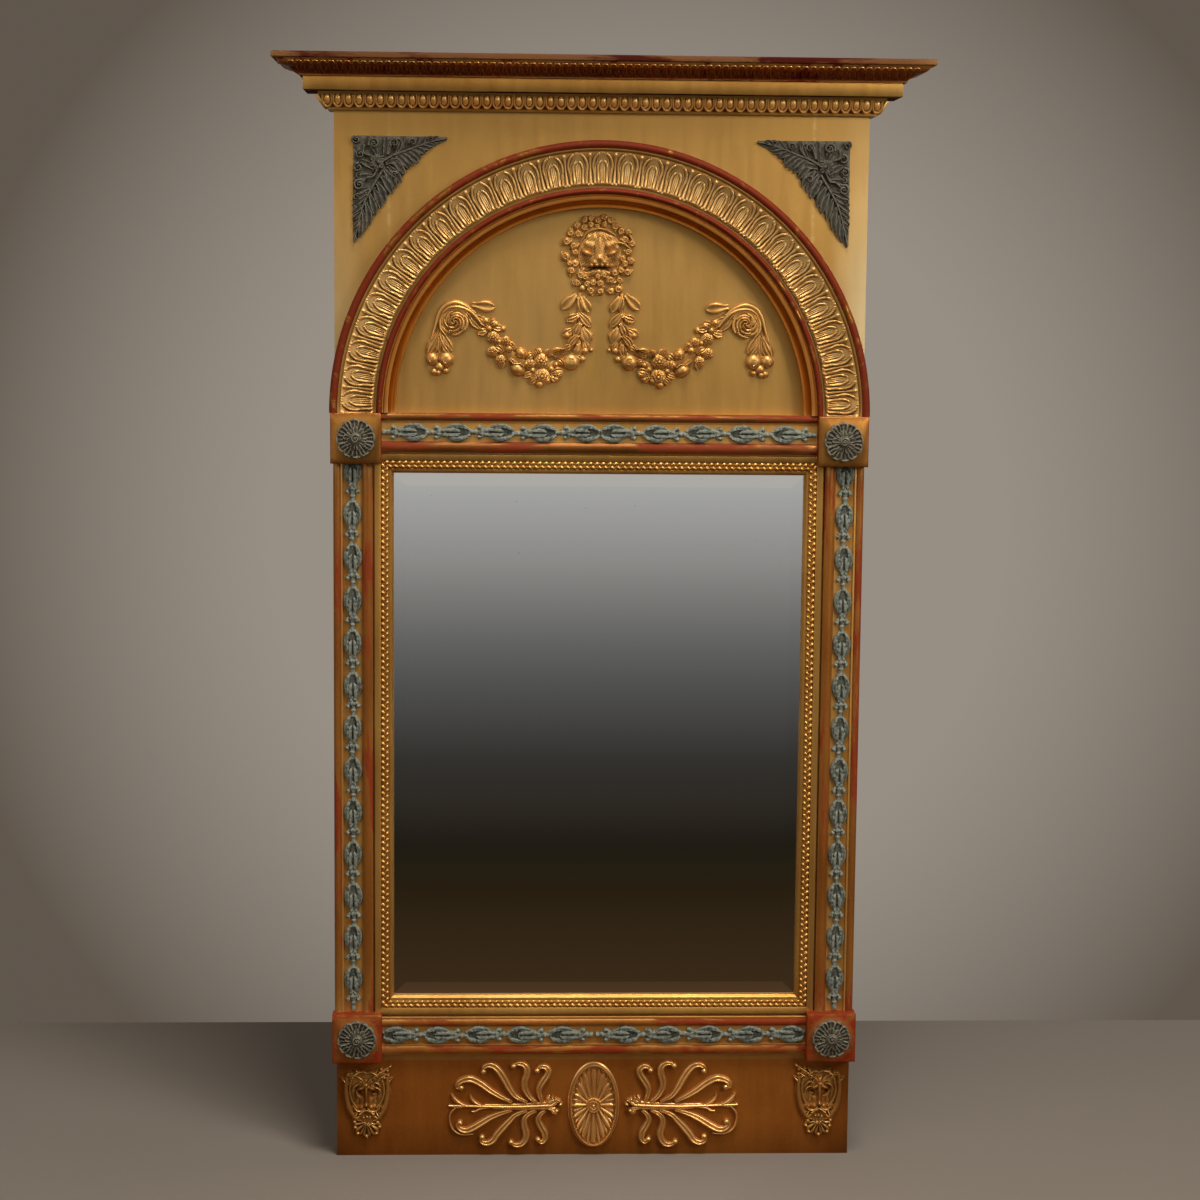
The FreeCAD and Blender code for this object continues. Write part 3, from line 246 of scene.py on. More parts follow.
lamp("key_lamp", 2.3, -2.6, 2.3, 1.4, 66, aim_height=1.1)
lamp("fill_lamp", -2.6, -2.9, 2.0, 2.2, 26)
lamp("top_lamp", 0.3, -1.3, 3.5, 0.9, 78, aim_height=0.7, tone=(1.0, 0.98, 0.95))

# The camera stands before the object a little to its left, at the height of a raised tripod
lens = bpy.data.cameras.new("camera")
lens.lens = 75.75
lens.sensor_width = 36.0
camera = stood("camera", lens)
camera_place = stand(-0.153, -3.767, 1.309)
yaw, pitch, roll, upright = (math.radians(turn) for turn in (-2.39, -6.96, -0.55, 90))
aimed = Matrix.Rotation(yaw, 4, "Z") @ Matrix.Rotation(pitch, 4, "X") @ Matrix.Rotation(roll, 4, "Y")
camera.matrix_world = Matrix.Translation(camera_place) @ aimed @ Matrix.Rotation(upright, 4, "X")
bpy.context.scene.camera = camera
bpy.context.scene.view_settings.view_transform = "Standard"

# Carcass boards: pine, coated with chalk and red bole and gilded in front and on the sides.
# The gold is laid in leaves, brushed thin by wear, and left off on the back.


def pine(finish):
    """Colour and relief of bare old pine, with its grain up the board."""
    rings = finish.grain(26.0, 4.0, 0.6, stretch=(1.0, 1.0, 0.06), warp=0.6)
    stain = finish.grain(4.0, 3.0)
    colour = finish.mix(rings, (128, 94, 58), (176, 141, 98))
    return finish.mix(stain * 0.5, colour, (104, 80, 56)), rings


def gold_coat(finish, light, deep, worn=0.1, grime=0.5, bole=(122, 50, 22), shine=0.36, bright=0.9,
              streak=None, hollows=0.40, edged=0.5):
    """Burnished leaf gold over red bole, darker in its hollows with dirt and painted shade, and paler on its
    edges with a painted highlight. Worn runs from 0, whole, to 1, rubbed to the bole.
    """
    clouds = finish.grain(3.2, 4.0, 0.6, warp=0.4)
    brushed = finish.grain(70.0, 3.0, 0.6, stretch=(1.0, 1.0, 0.12))
    flecks = finish.grain(240.0, 2.0, 0.6)
    shade = finish.step(clouds * 0.6 + brushed * 0.26 + flecks * 0.14, 0.34, 0.66)
    gold = finish.mix(shade, deep, light)
    form = finish.node("ShaderNodeNewGeometry", output="Pointiness")
    # Dirt and painted shade: hollows, found by the pointiness of the mesh, are darkened towards a near-black
    # brown
    hollow = finish.step(form, 0.498, hollows)
    gold = finish.mix(hollow * grime, gold, (46, 19, 5))
    # Painted highlight: convex edges are laid over with a paler gold
    edge = finish.step(form, 0.51, 0.60)
    gold = finish.mix(edge * edged, gold, (214, 170, 98))
    rub = finish.grain(34.0, 6.0, 0.68, warp=0.3, stretch=streak)
    patches = finish.grain(6.0, 3.0, 0.5)
    rubbed = 0.76 - worn * 0.42
    bare = finish.step(rub * 0.66 + patches * 0.34 + edge * 0.05, rubbed, rubbed + 0.06)
    aged = finish.mix(flecks, bole, tuple(part * 0.62 for part in seen(*bole)[:3]) + (1.0,))
    return SimpleNamespace(
        shade=shade, gold=gold, rub=rub, bare=bare, aged=aged,
        colour=finish.mix(bare, gold, aged),
        height=brushed * 0.4 + flecks * 0.4 - bare * 0.8,
        metal=bright - bare * (bright - 0.08) - hollow * bright * 0.3,
        rough=shine + brushed * 0.14 + bare * 0.25 + hollow * 0.2)


def gilding(name, light, deep, relief=0.15, touch=None, **manner):
    """A finish of leaf gold; touch is what else age and the maker did to it, and on the boards also painted
    light and shade.
    """
    finish = Finish(bpy.data.materials.new(name))
    coat = gold_coat(finish, light, deep, **manner)
    if touch:
        touch(finish, coat)
    return finish.surface(Base_Color=coat.colour, Metallic=coat.metal, Roughness=coat.rough,
                          Normal=finish.bump(relief, 0.0006, coat.height), Specular_IOR_Level=0.15)


def aged_and_shaded_boards(finish, coat):
    """A browned apron partly darkened by painted shade, fine seams, a painted glare on the outer edges beside
    the arch, and bare pine behind.
    """
    across, level = finish.axis(finish.place(), "X"), finish.axis(finish.place(), "Z") + 1.5
    out = abs(across)
    apron = finish.step(level, 0.176, 0.168)
    streaks = finish.step(finish.grain(120.0, 3.0, 0.7, stretch=(1.0, 1.0, 0.05)), 0.5, 0.7)
    colour = finish.mix(streaks * 0.05, coat.colour, (120, 76, 30))
    dust_and_sheen = finish.step(finish.grain(2.2, 4.0, 0.6), 0.5, 0.68)
    colour = finish.mix(dust_and_sheen * 0.3, colour, (196, 156, 100))
    # Below the bottom blocks the gold turns brown: partly its own browned tone, partly painted shade where less
    # light falls
    browned = finish.mix(coat.shade, (124, 70, 27), (158, 96, 40))
    colour = finish.mix(apron * (1.0 - coat.bare * 0.4), colour, browned)
    seam = finish.step(abs(out - 0.3103), 0.0005, 0.0001) * (1.0 - apron)
    broken = finish.step(finish.grain(60.0, 3.0, 0.6, stretch=(0.1, 1.0, 1.0)), 0.5, 0.62)
    colour = finish.mix(seam * (0.08 + broken * 0.34), colour, (222, 190, 132))
    # Painted glare: paler gold on the outer edges beside the arch, fading upwards and stronger on the right,
    # with a little dust
    beside_arch = finish.step(out, 0.335, 0.382) * finish.step(level * 0.5, 0.54, 0.56)
    fading = finish.step(level * 0.5, 0.76, 0.65)
    pale = beside_arch * (fading * (0.26 + (across > 0.0) * 0.46) + dust_and_sheen * 0.2)
    colour = finish.mix(pale, colour, (236, 212, 160))
    # Painted shade: the apron is darker towards its bottom and its outer ends
    painted_shade = finish.step(level, 0.075, 0.02) * 0.45 + finish.step(out, 0.34, 0.39) * 0.3
    colour = finish.mix(apron * painted_shade, colour, (58, 28, 8))
    behind = finish.axis(finish.node("ShaderNodeNewGeometry", output="Normal"), "Y") > 0.5
    wood, rings = pine(finish)
    coat.colour = finish.mix(behind, colour, wood)
    coat.metal = coat.metal * (1.0 - apron * 0.5) * (1.0 - behind)
    coat.rough = coat.rough + behind * 0.35
    coat.height = coat.height + rings * behind - seam * 0.5


def dressed(material, *names):
    """CAD nodes whose shape is right get a finish."""
    for name in names:
        nodes[name].data.materials.clear()
        nodes[name].data.materials.append(material)


board_gold = gilding("board_gold", (168, 121, 57), (130, 83, 32), worn=0.08, relief=0.22, shine=0.34,
                     touch=aged_and_shaded_boards)
dressed(board_gold, "stile_left", "stile_right", "middle_rail", "arched_board", "tympanum_panel", "bottom_rail")

bare = Finish(bpy.data.materials.new("bare_pine"))
wood_colour, wood_rings = pine(bare)
bare_pine = bare.surface(Base_Color=wood_colour, Roughness=0.72, Normal=bare.bump(0.3, 0.0008, wood_rings))
dressed(bare_pine, "top_rail", "cornice_cap", "glass_blocks", "backboard_1", "backboard_2", "backboard_3")

# Looking glass: a silvered plate with a shallow bevel, a little clouded in spots.
# It is held by glue blocks and backed by thin pine boards.
glass = Finish(bpy.data.materials.new("looking_glass"))
foxed = glass.step(glass.grain(90.0, 5.0, 0.7), 0.70, 0.78)
silver = glass.mix(foxed * 0.5, (0.93, 0.93, 0.92, 1), (70, 62, 52))
dressed(glass.surface(Base_Color=silver, Metallic=1.0, Roughness=foxed * 0.2 + 0.012), "mirror_plate")

# Hanging plates: forged iron, let in flush in the backs of the stiles over hollows for the hooks,
# and dark with a thin rust
metal = Finish(bpy.data.materials.new("hand_forged_iron"))
rust = metal.step(metal.grain(120.0, 5.0, 0.65), 0.45, 0.62)
forged_iron = metal.surface(
    Base_Color=metal.mix(rust, (62, 60, 58), (104, 66, 42)), Metallic=0.9 - rust * 0.7,
    Roughness=0.42 + rust * 0.35, Normal=metal.bump(0.35, 0.0005, metal.grain(60.0, 4.0)))
dressed(forged_iron, "hanger_plate_left", "hanger_plate_right")

# Cornice: a bed moulding of carved eggs under a plain fascia and a flaring crown of small leaves.
# Lime wood, carved and gilded, mitred at both corners and returned to the wall.


def lattice(rows, columns):
    """The faces of a grid of points, and the points of its rim in order."""
    index = np.arange(rows * columns).reshape(rows, columns)
    faces = np.stack([index[:-1, :-1], index[1:, :-1], index[1:, 1:], index[:-1, 1:]], -1).reshape(-1, 4)
    return faces, np.concatenate([index[0, :-1], index[:-1, -1], index[-1, :0:-1], index[:0:-1, 0]])


class Carving:
    """One carved or run piece, drawn in millimetres: across, up from the bottom edge, out from the wall."""

    def __init__(self):
        self.points = []
        self.faces = []
        self.count = 0
        self.hold()

    def hold(self, origin=(0, 0, 0), across=(1, 0, 0), up=(0, 1, 0)):
        """Where the next forms are cut, and which way their own across and up run."""
        across = np.array(across, float) / np.linalg.norm(across)
        up = np.array(up, float) / np.linalg.norm(up)
        self.axes = np.array([across, up, np.cross(across, up)])
        self.origin = np.array(origin, float)

    def add(self, points, faces):
        placed = np.asarray(points, float).reshape(-1, 3) @ self.axes + self.origin
        self.points.append(placed)
        self.faces += [[corner + self.count for corner in face] for face in faces]
        self.count += len(placed)

    def raised(self, grid, seat):
        """A form whose top is a grid of points and whose sides go straight down to the seat."""
        faces, rim = lattice(*grid.shape[:2])
        self.walled(grid.reshape(-1, 3), faces.tolist(), rim, seat)

    def walled(self, top, faces, rim, seat):
        foot = top[rim].copy()
        foot[:, 2] = seat
        low = len(top) + np.arange(len(rim))
        following = np.roll(np.arange(len(rim)), -1)
        walls = [[rim[i], rim[j], low[j], low[i]] for i, j in enumerate(following)]
        self.add(np.concatenate([top, foot]), faces + walls + [low[::-1].tolist()])

    def dome(self, x, up, seat, radius, rise, stretch=1.0, turn=0.0, rings=4, sides=12, wall=0.2,
             flutes=0, depth=0.0):
        """A rounded boss, oval with stretch, and fluted like a berry or a shell."""
        angles = np.arange(sides) * 2 * math.pi / sides
        share = np.sin(np.linspace(0.0, 0.5, rings + 1)[1:] * math.pi)[:, None]
        shape = 1.0 - depth * (0.5 - 0.5 * np.cos(flutes * angles)) if flutes else np.ones(sides)
        height = seat + rise * (wall + (1 - wall) * np.sqrt(np.clip(1 - share ** 2, 0, 1)))
        along = radius * share * np.cos(angles) * shape
        aside = radius * stretch * share * np.sin(angles) * shape
        tilt = math.radians(turn)
        ring = np.stack([x + along * math.cos(tilt) - aside * math.sin(tilt),
                         up + along * math.sin(tilt) + aside * math.cos(tilt),
                         height + 0 * along], -1)
        top = np.concatenate([[[x, up, seat + rise]], ring.reshape(-1, 3)])
        faces = [[0, 1 + i, 1 + (i + 1) % sides] for i in range(sides)]
        for ring_at in range(rings - 1):
            low = 1 + ring_at * sides
            faces += [[low + i, low + sides + i, low + sides + (i + 1) % sides, low + (i + 1) % sides]
                      for i in range(sides)]
        rim = 1 + (rings - 1) * sides + np.arange(sides)
        self.walled(top, faces, rim, seat)

    def blade(self, x, up, heading, length, width, seat, rise, bend=0.0, widest=0.45, blunt=0.7,
              lobes=0, notch=0.3, ribs=0, rib=0.0, cup=0.0, rows=9, columns=7, foot=0.2):
        """A leaf or petal from its foot along a heading in degrees. Cup hollows it between
        raised edges, ribs run along it and lobes notch its sides."""
        along = np.linspace(0, 1, rows)
        aside = np.linspace(-1, 1, columns)
        angle = np.radians(heading + bend * along)
        step = length / (rows - 1)
        course_x = x + np.concatenate([[0], np.cumsum(np.cos((angle[1:] + angle[:-1]) / 2) * step)])
        course_up = up + np.concatenate([[0], np.cumsum(np.sin((angle[1:] + angle[:-1]) / 2) * step)])
        outline = np.sin(math.pi * along ** (math.log(0.5) / math.log(widest))) ** blunt
        outline = np.maximum(outline, foot * (1 - along) + 0.06)
        if lobes:
            outline = outline * (1 - notch * np.abs(np.sin(math.pi * lobes * along)) ** 0.6 * 0.5
                                 - notch * 0.5 * ((along * lobes) % 1.0))
        side = outline[:, None] * aside * width / 2
        grid_x = course_x[:, None] - side * np.sin(angle)[:, None]
        grid_up = course_up[:, None] + side * np.cos(angle)[:, None]
        crown = (np.sqrt(np.clip(1 - aside ** 2, 0, 1)) * (1 - cup)
                 + cup * (aside ** 2) * (1.3 - aside ** 2) * 2.2)
        body = 0.35 + 0.65 * np.sin(math.pi * np.clip(along * 0.9 + 0.08, 0, 1))
        wall = 0.35
        high = wall + (1 - wall) * crown[None, :] * body[:, None]
        high = high + (rib * np.cos(2 * math.pi * ribs * aside)[None, :] * body[:, None] if ribs else 0)
        self.raised(np.stack([grid_x, grid_up, seat + rise * high], -1), seat)

    def strand(self, path, radii, seat, rise=None, section=8, wall=0.25):
        """A rounded strip laid along a path of points, as thick as its radii say."""
        path = np.asarray(path, float)
        radii = np.broadcast_to(np.asarray(radii, float), len(path))
        rise = radii if rise is None else np.broadcast_to(np.asarray(rise, float), len(path))
        course = np.gradient(path[:, :2], axis=0)
        course /= np.linalg.norm(course, axis=1)[:, None] + 1e-9
        aside = np.cos(np.linspace(math.pi, 0, section))
        crown = wall + (1 - wall) * np.sqrt(np.clip(1 - aside ** 2, 0, 1))
        offset = radii[:, None] * aside
        lift = path[:, 2:3] if path.shape[1] > 2 else 0.0
        grid = np.stack([path[:, :1] + offset * course[:, 1:2], path[:, 1:2] - offset * course[:, :1],
                         seat + lift + rise[:, None] * crown], -1)
        self.raised(grid, seat)

    def curl(self, x, up, radius, turns, start, seat, thick, way=1, lift=0.0, steps=22, rise=None):
        """A spiral lock from its loose end at start degrees in to a rounded eye."""
        share = np.linspace(0, 1, steps)
        angle = math.radians(start) + way * turns * 2 * math.pi * share
        core = 0.25
        reach = radius * (1 - share * (1 - core))
        path = np.stack([x + reach * np.cos(angle), up + reach * np.sin(angle), lift * share], -1)
        self.strand(path, thick * (1 - 0.45 * share), seat, rise)

    def run(self, stations):
        """A moulding through sections of equally many points, closed along its back and its ends."""
        stations = np.asarray(stations, float)
        rows, columns = stations.shape[:2]
        index = np.arange(rows * columns).reshape(rows, columns)
        across = np.roll(index, -1, axis=1)
        quads = np.stack([index[:-1], index[1:], across[1:], across[:-1]], -1).reshape(-1, 4).tolist()
        self.add(stations.reshape(-1, 3), quads + [index[0].tolist(), index[-1, ::-1].tolist()])

    def piece(self, name, slot, material, *replaced, mirror=False, crease=38):
        """The finished mesh, standing where it was drawn."""
        points = np.concatenate(self.points)
        if mirror:
            points = points * (-1, 1, 1)
        placed = np.stack([points[:, 0], -points[:, 2], points[:, 1] - HANG], -1) / 1000
        mesh = bpy.data.meshes.new(name)
        mesh.from_pydata(placed.tolist(), [], self.faces)
        shell = bmesh.new()
        shell.from_mesh(mesh)
        bmesh.ops.recalc_face_normals(shell, faces=shell.faces)
        shell.to_mesh(mesh)
        shell.free()
        mesh.shade_smooth()
        mesh.set_sharp_from_angle(angle=math.radians(crease))
        made = stood(name, mesh)
        mesh.materials.append(material)
        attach(made, "root")
        if replaced:
            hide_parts(*replaced)

    def pair(self, name, slot, material, node, drawn="left", crease=60):
        """The finished mesh on the side where it was drawn, and its mirror image on the other."""
        for side in ("left", "right"):
            self.piece(name + side, slot, material, node + side, mirror=side != drawn, crease=crease)


def arc(start, end, rise, steps=7):
    """Points of a hollow or a bead between two points of a section; a negative rise is a hollow."""
    start, end = np.array(start, float), np.array(end, float)
    chord = end - start
    side = np.array([-chord[1], chord[0]]) / np.linalg.norm(chord)
    share = np.linspace(0, 1, steps)[:, None]
    return (start + chord * share + side * rise * 4 * share * (1 - share)).tolist()


carved_gold = gilding("carved_gold", (184, 136, 70), (138, 90, 36), worn=0.12, grime=0.95, shine=0.3)
moulded_gold = gilding("moulded_gold", (166, 118, 56), (128, 80, 32), worn=0.16, grime=0.6)
cornice_red = gilding("cornice_red", (78, 36, 3), (62, 22, 1), worn=0.6, grime=0.7, bole=(64, 20, 1),
                      shine=0.66, bright=0.08, streak=(0.2, 1.0, 1.0), edged=0.15)
cyma_brown = gilding("cyma_brown", (150, 76, 30), (104, 42, 14), worn=0.5, grime=0.9, bole=(108, 38, 13),
                     bright=0.6)
# The fascia and the eggs lie in the crown's shadow; their golds are paler than the rest, painted light that
# offsets it
fascia_gold_lightened = gilding("fascia_gold_lightened", (224, 166, 84), (186, 126, 58), worn=0.12, grime=0.4)
egg_gold_lightened = gilding("egg_gold_lightened", (246, 202, 124), (206, 148, 76), worn=0.04, grime=0.7, shine=0.38,
                   bright=0.6, hollows=0.42)

half_width = 390.0
face_out = 40.0
bed_base = 1566.0
crown_base = 1592.0


def round_three_sides(carving, section, base):
    """A cornice section, projection by height, carried round the left side, front and right side."""
    projection, height = np.array(section, float).T
    wide, deep, height = half_width + projection, face_out + projection, height + base
    course = ([(-wide, deep * share) for share in np.linspace(0, 1, 6)]
              + [(wide * (2 * share - 1), deep) for share in np.linspace(0, 1, 48)[1:]]
              + [(wide, deep * share) for share in np.linspace(1, 0, 6)[1:]])
    carving.run([np.stack([x, height, out], -1) for x, out in course])


def round_cornice(pitch, reach, level, slope):
    """Places for repeated ornament on the front and the sides, with its directions across and up the slope."""
    front, side, wall_gap = 2 * (half_width + reach), face_out + reach, 1.6
    slope_out, slope_up = np.array(slope, float) / math.hypot(*slope)
    count = round(front / pitch)
    places = [(-front / 2 + (index + 0.5) * front / count, side, (1, 0, 0)) for index in range(count)]
    count = round(side / pitch)
    for index in range(count):
        depth = wall_gap + (index + 0.5) * (side - wall_gap) / count
        places += [(-half_width - reach, depth, (0, 0, 1)), (half_width + reach, depth, (0, 0, -1))]
    for x, out, across in places:
        yield (np.array([x, level, out]), np.array(across),
               np.array([0, slope_up, 0]) + np.cross(across, (0, 1, 0)) * slope_out)


# Bed moulding: fillet, slope and rows of eggs between darts,
# carved in the same lime wood and gilded
bed = Carving()
bed_slope = [(0, 0), (8, 0), (8.6, 1.2), (8, 5)] + arc((8, 5), (22, 26), -2.6, 8)[1:] + [(0, 26)]
round_three_sides(bed, bed_slope, bed_base)
bed.piece("bed_moulding_run", "gilt_moulding", moulded_gold, "bed_moulding_front", "bed_moulding_left",
          "bed_moulding_right")
eggs = Carving()
egg_pitch = 15.4
husk_line = [(-6.4, 9.5), (-6.7, 2), (-6.1, -4), (-3.4, -8.8), (0, -10),
             (3.4, -8.8), (6.1, -4), (6.7, 2), (6.4, 9.5)]
for foot, across, up_slope in round_cornice(egg_pitch, 16.0, bed_base + 14.8, (13, 19)):
    eggs.hold(foot, across, up_slope)
    eggs.dome(0, 1.0, -1.0, 5.0, 6.6, stretch=1.6)
    eggs.strand(husk_line, 1.6, -1.0, 6.2, section=6)
    between = foot + across * egg_pitch / 2
    if between[2] > 1.5:
        eggs.hold(between, across, up_slope)
        eggs.blade(0, 8, -90, 15, 2.0, -1.0, 4.2, rows=4, columns=3)
eggs.piece("bed_eggs", "gilt_moulding", egg_gold_lightened, crease=50)

# Crown: a plain fascia over a thin dark sheet that paints its underside in shade, a flaring cyma with a band of
# small leaves and a top fillet.
# Run and carved in lime wood and gilded, the upper part worn to its red bole
for name, section, material, *replaced in (
        ("crown_fascia", [(0, 0.6), (41, 0.6), (41.6, 1.4), (41.6, 19.4), (41, 20), (46, 20), (0, 20)],
         fascia_gold_lightened),
        # A sheet 0.6 mm thick under the fascia, in the dark red of the top fillet: painted shade on the
        # fascia's underside
        ("crown_soffit_shade", [(0, 0), (40.6, 0), (40.6, 0.6), (0, 0.6)], cornice_red),
        ("crown_cyma", [(0, 20), (46.5, 20)] + arc((47, 22.6), (62, 32), 2.2, 6)
         + arc((62, 32), (78.6, 42), -2.2, 6)[1:] + [(0, 42)], cyma_brown),
        ("crown_fillet", [(0, 42), (82.4, 42), (83.6, 43.2), (83.6, 47.5), (82.2, 50.2), (80, 51), (0, 51)],
         cornice_red, "crown_front", "crown_left", "crown_right")):
    crown = Carving()
    round_three_sides(crown, section, crown_base)
    crown.piece(name, "gilt_moulding", material, *replaced)
leaf_foot_reach = 48


def clears_mitre(place, across):
    """Whether the foot of a leaf in this place still lies on its own side of the mitre."""
    return (abs(place[0]) - half_width if across[0] else place[2] - face_out) < leaf_foot_reach


leaves = Carving()
tips = Carving()
leaf_pitch = 11.5
tip_line = [(4.7 * math.cos(angle), 10.4 + 4.0 * math.sin(angle))
            for angle in np.linspace(-0.3, math.pi + 0.3, 9)]
for middle, across, up_slope in round_cornice(leaf_pitch, 62.0, crown_base + 32.0, (29, 19)):
    proud = 3.8 if across[0] else 1.4
    if clears_mitre(middle, across):
        leaves.hold(middle, across, up_slope)
        leaves.blade(0, -15.5, 90, 28, 10.4, -1.6, proud, widest=0.62, blunt=0.45, cup=0.4, ribs=2.5, rib=0.16,
                     rows=7, columns=11)
    between = middle + across * leaf_pitch / 2
    if between[2] > 1.5 and clears_mitre(between, across):
        leaves.hold(between, across, up_slope)
        leaves.blade(0, -15, 90, 27, 1.8, -1.6, proud - 0.6, rows=4, columns=3)
    tips.hold(middle, across, up_slope)
    tips.strand(tip_line, 1.5, 0.4, 3.0, section=6)
leaves.piece("crown_leaves", "gilt_moulding", cyma_brown, crease=50)
tips.piece("crown_leaf_tips", "gilt_moulding", carved_gold, crease=50)

# Arch: a stepped inner moulding, then a beaded and coved outer one, turned on a large faceplate
# in segments, coated with bole and gilded. The beads are rubbed down to the red.
arch_centre = 1130.0


def over_arch(carving, section):
    """A section, radius by height out of the boards, carried over the half circle."""
    radius, out = np.array(section[::-1], float).T
    out = out + face_out
    carving.run([np.stack([radius * math.cos(angle), arch_centre + radius * math.sin(angle), out], -1)
                 for angle in np.linspace(0, math.pi, 120)])


bead_red = gilding("bead_red", (150, 98, 44), (108, 60, 24), worn=0.8, grime=0.5, bole=(112, 42, 16),
                   relief=0.25)
fillet_brown = gilding("fillet_brown", (150, 106, 54), (104, 66, 30), worn=0.3, grime=0.6, bole=(100, 54, 32))
step_brown = gilding("step_brown", (172, 96, 26), (134, 66, 15), worn=0.2, grime=0.6, bole=(120, 48, 18),
                     bright=0.8)
inner = Carving()
over_arch(inner, [(301, 0), (301, 4.4), (301.6, 5), (305, 5)] + arc((305.5, 5), (312, 14.6), -1.6, 7)
          + [(313, 15), (317, 15), (317.5, 13.6), (318.5, 13.2), (320, 13.6), (320, 0)])
inner.piece("arch_steps", "gilt_moulding", step_brown, "arch_inner_moulding")
beads = Carving()
over_arch(beads, [(320, 0), (320, 15)] + arc((320.3, 16), (328.7, 16), 4.5, 9) + [(329, 15), (329, 0)])
over_arch(beads, [(385.5, 18), (385.5, 21.6)] + arc((386, 22), (396.8, 22), 3.4, 11)
          + [(397, 21), (397, 0), (385.5, 0)])
beads.piece("arch_beads", "gilt_moulding", bead_red)
cove = Carving()
over_arch(cove, [(329, 0), (329, 11), (333, 11), (333, 14)] + arc((333, 14), (381, 22), -6.5, 12)
          + [(381.6, 22), (383, 23), (385.2, 23), (385.5, 21), (385.5, 0)])
cove.piece("arch_cove", "gilt_moulding", fillet_brown, "arch_outer_moulding")

# The leaf band in the cove: 31 round-tipped leaves, each with a raised rim, fine ribs from its foot
# and a smaller leaf inside, and a dart between each two. It is pressed composition, gilded.
leaf_count = 31
band_columns = 40
band_rows = 30


def tongue_form(across, along, width, length):
    """How far inside a round-tipped leaf a place is: 1 on its spine and 0 on its edge."""
    shoulder = 0.58 * length
    beyond = np.clip((along - shoulder) / (length - shoulder), 0, 1)
    reach = width * np.sqrt(np.clip(1 - beyond ** 2, 0, 1)) * (0.82 + 0.18 * np.clip(along / shoulder, 0, 1))
    return np.where(along < length, 1 - np.abs(across) / np.maximum(reach, 0.001), -1.0)


def ridge(value, centre, width):
    """1 on a line and soft on both sides of it."""
    return np.exp(-((value - centre) / width) ** 2)


turns, along = np.meshgrid(np.linspace(0, math.pi, leaf_count * band_columns + 1),
                           np.linspace(0, 1, band_rows), indexing="ij")
counted = turns / math.pi * leaf_count
wobble = np.sin(np.floor(counted) * 12.9898) * 0.5
aside = counted % 1.0 * 2 - 1 + wobble * 0.06 * along
outer_leaf = tongue_form(aside, along, 0.88, 0.97)
inner_leaf = tongue_form(aside, along, 0.50, 0.74)
on_leaf = outer_leaf > 0
relief_out = np.where(on_leaf, 0.9 + 3.2 * ridge(outer_leaf, 0.13, 0.10), 0.0)
relief_out += np.where(on_leaf & (inner_leaf > 0), 0.4 + 2.6 * ridge(inner_leaf, 0.2, 0.16), 0.0)
ribs = np.cos(aside * math.pi * 7.0) ** 2
relief_out += np.where(on_leaf, 1.5 * ribs * np.clip(1.15 - along / 0.8, 0, 1), 0.0)
relief_out += np.where(inner_leaf > 0.55, 1.3 * np.clip(1 - along / 0.7, 0, 1), 0.0)
dart = (1 - np.abs(aside)) / 0.10
relief_out += np.where(on_leaf, 0.0, 2.4 * np.exp(-dart ** 2) * (along < 0.94))
relief_out += 1.6 * ridge(along, 0.90, 0.035) * np.exp(-dart ** 2 * 0.6)
relief_out *= np.clip(along * 25, 0, 1) * np.clip((1 - along) * 25, 0, 1)
radius = 333.6 + 46.8 * along
cove_out = 14 + 8 * along - 6.5 * 4 * along * (1 - along)
grid = np.stack([radius * np.cos(math.pi - turns), arch_centre + radius * np.sin(math.pi - turns),
                 face_out + cove_out + 0.5 + relief_out], -1)
under = grid.copy()
under[..., 2] = face_out + cove_out - 0.4
faces, rim = lattice(*grid.shape[:2])
count = turns.size
walls = [[a, b, b + count, a + count] for a, b in zip(rim, np.roll(rim, -1))]
band = Carving()
band.add(np.concatenate([grid.reshape(-1, 3), under.reshape(-1, 3)]),
         faces.tolist() + (faces[:, ::-1] + count).tolist() + walls)
band_gold = gilding("band_gold", (222, 182, 118), (178, 130, 68), worn=0.05, grime=0.82, relief=0.1, shine=0.42,
                    bright=0.6, hollows=0.47)
band.piece("arch_leaf_band", "gilt_carving", band_gold, "arch_leaves", crease=75)

# Reeded mouldings: a worn red reed, a fillet, a channel for the leaf string and a wider reed.
# Run in pine between the corner blocks, coated with bole, gilded, and rubbed red along the reeds.
moulding_outer = 392.0
block_inner = 321.0
top_edge, bottom_edge = 1130.0, 161.2
block_top_low, block_bottom_high = 1056.0, 227.2
reed_red = gilding("reed_red", (120, 74, 32), (92, 48, 19), worn=0.72, grime=0.5, bole=(126, 54, 24),
                   relief=0.3, bright=0.55, streak=(0.22, 1.0, 1.0))
stile_reed_red = gilding("stile_reed_red", (160, 104, 46), (120, 66, 26), worn=0.66, grime=0.5,
                         bole=(134, 58, 25), relief=0.3, bright=0.6, streak=(1.0, 1.0, 0.14))
low_reed_red = gilding("low_reed_red", (164, 104, 46), (126, 68, 26), worn=0.7, grime=0.5, bole=(138, 56, 22),
                       relief=0.3, bright=0.45, streak=(0.2, 1.0, 1.0))
channel_gold = gilding("channel_gold", (204, 150, 78), (160, 106, 50), worn=0.24, grime=0.6, bole=(140, 74, 34),
                       bright=0.75)


def straight(carving, section, start, end, aside):
    """A section, distance from its edge by height, run between two points of the face."""
    start, end, aside = (np.array(place, float) for place in (start, end, aside))
    across, out = np.array(section, float).T
    carving.run([np.column_stack([start + (end - start) * share + across[:, None] * aside, out + face_out])
                 for share in np.linspace(0, 1, 40)])


